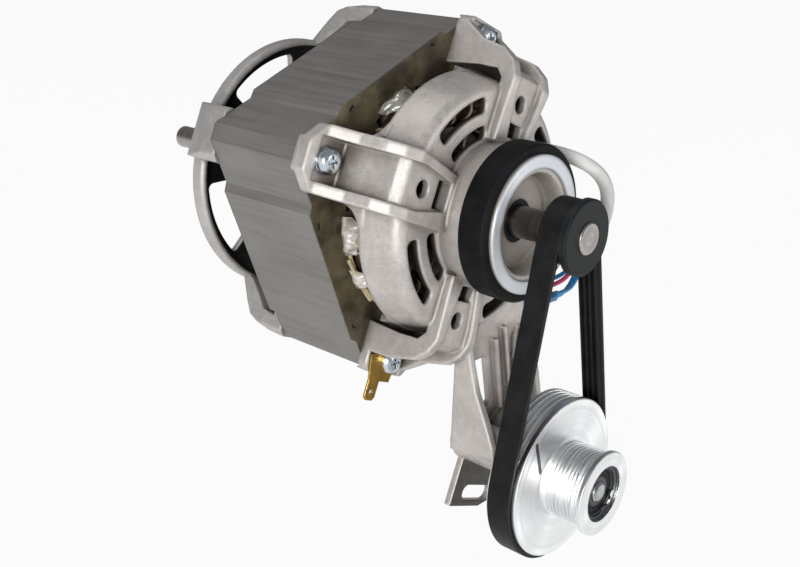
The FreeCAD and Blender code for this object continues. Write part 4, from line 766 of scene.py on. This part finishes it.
# Balance slot of the reduction pulley: a milled groove with round ends in its front face, drawn as
# a flat dark lozenge 0.05 mm proud of the face, its darkness painted shade
def faceSlot(name, look):
    first, last = np.array(look["first"]), np.array(look["last"])
    heading = (last - first) / np.linalg.norm(last - first)
    side = np.array([-heading[1], heading[0]])
    turn = np.linspace(-np.pi / 2, np.pi / 2, look["steps"])
    ends = [last + look["half"] * (math.cos(a) * heading + math.sin(a) * side) for a in turn]
    ends += [first - look["half"] * (math.cos(a) * heading + math.sin(a) * side) for a in turn]
    count = len(ends)
    points = [(x, look["face"] - look["proud"], z) for x, z in ends]
    points += [(x, look["face"] + look["proud"], z) for x, z in ends]
    faces = [list(range(count)), list(range(2 * count - 1, count - 1, -1))]
    faces += [[k, k + count, (k + 1) % count + count, (k + 1) % count] for k in range(count)]
    tidyMesh(name, points, faces, look)


faceSlot("balanceSlot", {"first": (-20.6, -74.2), "last": (-16.9, -86.6), "half": 0.85,
                         "steps": 13, "face": -28.64, "proud": 0.05, "smooth": False,
                         "finish": darkSteel, "body": "pulley", "slot": "turned_aluminium"})
print("stage: small marks made")


# Boot of a push-on terminal: rings square to the wire, a round of 1.5 mm at the wire that widens
# into a squared oval of power 4, then a short mouth that steps in
def terminalBoot(name, look):
    first, last = Vector(look["route"][-2]), Vector(look["route"][-1])
    heading = np.array((last - first).normalized())
    level = np.array([0.0, 1.0, 0.0]) - heading * heading[1]
    level /= np.linalg.norm(level)
    upward = np.cross(heading, level)
    turn = np.linspace(0, 2 * np.pi, look["sides"], endpoint=False)
    rings = []
    for reach, wide, tall, power in look["stations"]:
        across = squared(np.cos(turn), power) * wide
        up = squared(np.sin(turn), power) * tall
        centre = np.array(last) + heading * reach
        rings.append(centre + across[:, None] * level + up[:, None] * upward)
    return tidyMesh(name, np.concatenate(rings), tubeFaces(len(rings), look["sides"]), look)


bootLook = {"body": "motor_frame", "smooth": False, "sides": 32,
            "stations": [(-2.4, 1.25, 1.25, 2), (-2.2, 1.45, 1.45, 2), (0.2, 1.5, 1.5, 2),
                         (1.4, 2.2, 1.5, 3), (2.4, 2.8, 1.45, 4), (8.4, 2.85, 1.4, 4),
                         (8.9, 2.7, 1.25, 4)]}


# leads: each cord is one NURBS curve through the CAD route's points

def layCord(look):
    curve = bpy.data.curves.new(look["name"], "CURVE")
    curve.dimensions = "3D"
    curve.bevel_depth = look["diameter"] * mm / 2
    curve.bevel_resolution = 6
    curve.resolution_u = 14
    curve.use_fill_caps = True
    spline = curve.splines.new("NURBS")
    spline.points.add(len(look["route"]) - 1)
    for point, place in zip(spline.points, look["route"]):
        point.co = [c * mm for c in place] + [1.0]
    spline.order_u = 3
    spline.use_endpoint_u = True
    obj = bpy.data.objects.new(look["name"], curve)
    bpy.context.scene.collection.objects.link(obj)
    curve.materials.append(look["finish"])
    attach(obj, "motor_frame")
    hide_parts(look["node"])


leadReach, leadTurn = 41.3, math.radians(27)
leadX, leadZ = leadReach * math.cos(leadTurn), leadReach * math.sin(leadTurn)
sleeve = {"name": "leadSleeve", "node": "lead_sleeve", "slot": "white_sleeve", "diameter": 5.6,
          "length": 69.0, "finish": sleeveSkin, "ends": "bare",
          "route": [(leadX, 22.5, leadZ), (leadX + 0.3, 13.7, leadZ), (40.6, 5.6, 17.2),
                    (46.1, -0.3, 13.7), (52.0, -3.3, 7.9), (56.0, -3.7, 0.1), (56.7, -2.6, -8.6),
                    (54.1, -1.2, -16.9), (48.6, 0.3, -23.0)]}
layCord(sleeve)

sleeveEnd = Vector(sleeve["route"][-1])
along = (sleeveEnd - Vector(sleeve["route"][-2])).normalized()
rear = (Vector((0, 1, 0)) - along * along.y).normalized()
across = along.cross(rear)
wires = [
    {"side": rear, "finish": blueSkin, "slot": "blue_insulation",
     "bends": [(40.8, 3.4, -29.8), (35.7, 4.1, -31.2), (30.3, 5.2, -31.6), (24.8, 6.1, -32.0),
               (19.1, 6.9, -32.6)]},
    {"side": -rear, "finish": blueSkin, "slot": "blue_insulation",
     "bends": [(41.6, -1.1, -31.6), (36.9, -2.2, -33.7), (31.5, -3.2, -34.0),
               (25.9, -4.2, -33.4), (20.1, -4.8, -32.8)]},
    {"side": across, "finish": blueSkin, "slot": "blue_insulation",
     "bends": [(43.3, 1.5, -32.7), (39.1, 1.2, -36.2), (33.8, 1.0, -37.6), (28.1, 1.2, -37.7),
               (22.3, 1.6, -37.3)]},
    {"side": -across, "finish": redSkin, "slot": "red_insulation",
     "bends": [(39.5, 0.5, -29.1), (34.3, 0.1, -30.8), (28.9, 0.4, -31.6), (23.3, 0.7, -31.7),
               (17.6, 1.0, -31.7)]}]
wireReach, wireStraight = 1.35, 5.5
for number, wire in enumerate(wires, 1):
    boot = terminalBoot("terminalBoot%d" % number, bootLook | {
        "route": wire["bends"], "finish": wire["finish"], "slot": wire["slot"],
        "replaces": "lead_terminal_%d" % number})
    start = sleeveEnd + wire["side"] * wireReach
    route = [tuple(start), tuple(start + along * wireStraight)] + wire["bends"]
    layCord(wire | {"name": "leadWire%d" % number, "node": "lead_wire_%d" % number,
                    "diameter": 1.8, "length": 33.1, "ends": "connector", "route": route,
                    "with": [boot]})
print("stage: leads laid")


# studio

# a floor under the foot, pure white to the camera and grey to the lamps
floorLook = {"level": -0.128, "half": 3.0, "colour": (0.86, 0.86, 0.86, 1), "rough": 0.9,
             "seen": 0.94}
floorMesh = bpy.data.meshes.new("studioFloor")
half = floorLook["half"]
floorMesh.from_pydata([(x * half, y * half, floorLook["level"])
                       for x, y in ((-1, -1), (1, -1), (1, 1), (-1, 1))], [], [(0, 1, 2, 3)])
floor = bpy.data.objects.new("studioFloor", floorMesh)
bpy.context.scene.collection.objects.link(floor)
floorMaterial, tree, shader, _ = startMaterial("studioFloor")
shader.inputs["Base Color"].default_value = floorLook["colour"]
shader.inputs["Roughness"].default_value = floorLook["rough"]
light = add(tree, "ShaderNodeEmission", {"Color": (1, 1, 1, 1), "Strength": 1.0})
path = add(tree, "ShaderNodeLightPath")
seen = maths(tree, "MULTIPLY", maths(tree, "ADD", path.outputs["Is Camera Ray"],
                                     path.outputs["Is Glossy Ray"], clamp=True),
             floorLook["seen"])
mixed = add(tree, "ShaderNodeMixShader", {0: seen, 1: shader.outputs[0], 2: light.outputs[0]})
tree.links.new(mixed.outputs[0], tree.nodes["Material Output"].inputs["Surface"])
floorMesh.materials.append(floorMaterial)

# white behind the part, and a dim cool light from all round
worldLook = {"colour": (0.95, 0.97, 1.0, 1), "strength": 0.22}
world = bpy.data.worlds.new("studioWorld")
bpy.context.scene.world = world
world.use_nodes = True
tree = world.node_tree
path = add(tree, "ShaderNodeLightPath")
around = tree.nodes["Background"]
around.inputs["Color"].default_value = worldLook["colour"]
around.inputs["Strength"].default_value = worldLook["strength"]
backdrop = add(tree, "ShaderNodeBackground", {"Color": (1, 1, 1, 1), "Strength": 1.0})
mixed = add(tree, "ShaderNodeMixShader", {0: path.outputs["Is Camera Ray"],
                                          1: around.outputs[0], 2: backdrop.outputs[0]})
tree.links.new(mixed.outputs[0], tree.nodes["World Output"].inputs["Surface"])

lampAim = Vector((0, 0.04, -0.02))
lamps = {
    "keyLamp": {"at": (-1.0, -0.5, 0.2), "power": 11.5, "size": 0.35},
    "sideLamp": {"at": (0.5, -1.0, 0.1), "power": 2.7, "size": 0.4},
    "topLamp": {"at": (-0.1, 0.5, 1.1), "power": 2.2, "size": 0.5}}
for name, look in lamps.items():
    data = bpy.data.lights.new(name, "AREA")
    data.energy = look["power"]
    data.size = look["size"]
    lamp = bpy.data.objects.new(name, data)
    bpy.context.scene.collection.objects.link(lamp)
    lamp.location = look["at"]
    lamp.rotation_euler = (lampAim - lamp.location).to_track_quat("-Z", "Y").to_euler()

# the camera's place and its three axes carry the tilt that the photograph shows
cameraLook = {"at": (-0.32550, -0.22583, 0.11272), "lens": 49.882,
              "right": (0.66388504, -0.74724751, 0.02962774),
              "up": (0.22958675, 0.24135887, 0.94288696),
              "back": (-0.71172086, -0.61916641, 0.33179267)}
cameraData = bpy.data.cameras.new("photoCamera")
cameraData.lens = cameraLook["lens"]
cameraData.sensor_width = 36.0
cameraData.sensor_fit = "HORIZONTAL"
cameraData.clip_start = 0.01
camera = bpy.data.objects.new("photoCamera", cameraData)
bpy.context.scene.collection.objects.link(camera)
turn = Matrix((cameraLook["right"], cameraLook["up"], cameraLook["back"])).transposed()
camera.matrix_world = Matrix.Translation(cameraLook["at"]) @ turn.to_4x4()
bpy.context.scene.camera = camera
bpy.context.scene.view_settings.view_transform = "Standard"
print("stage: studio set")
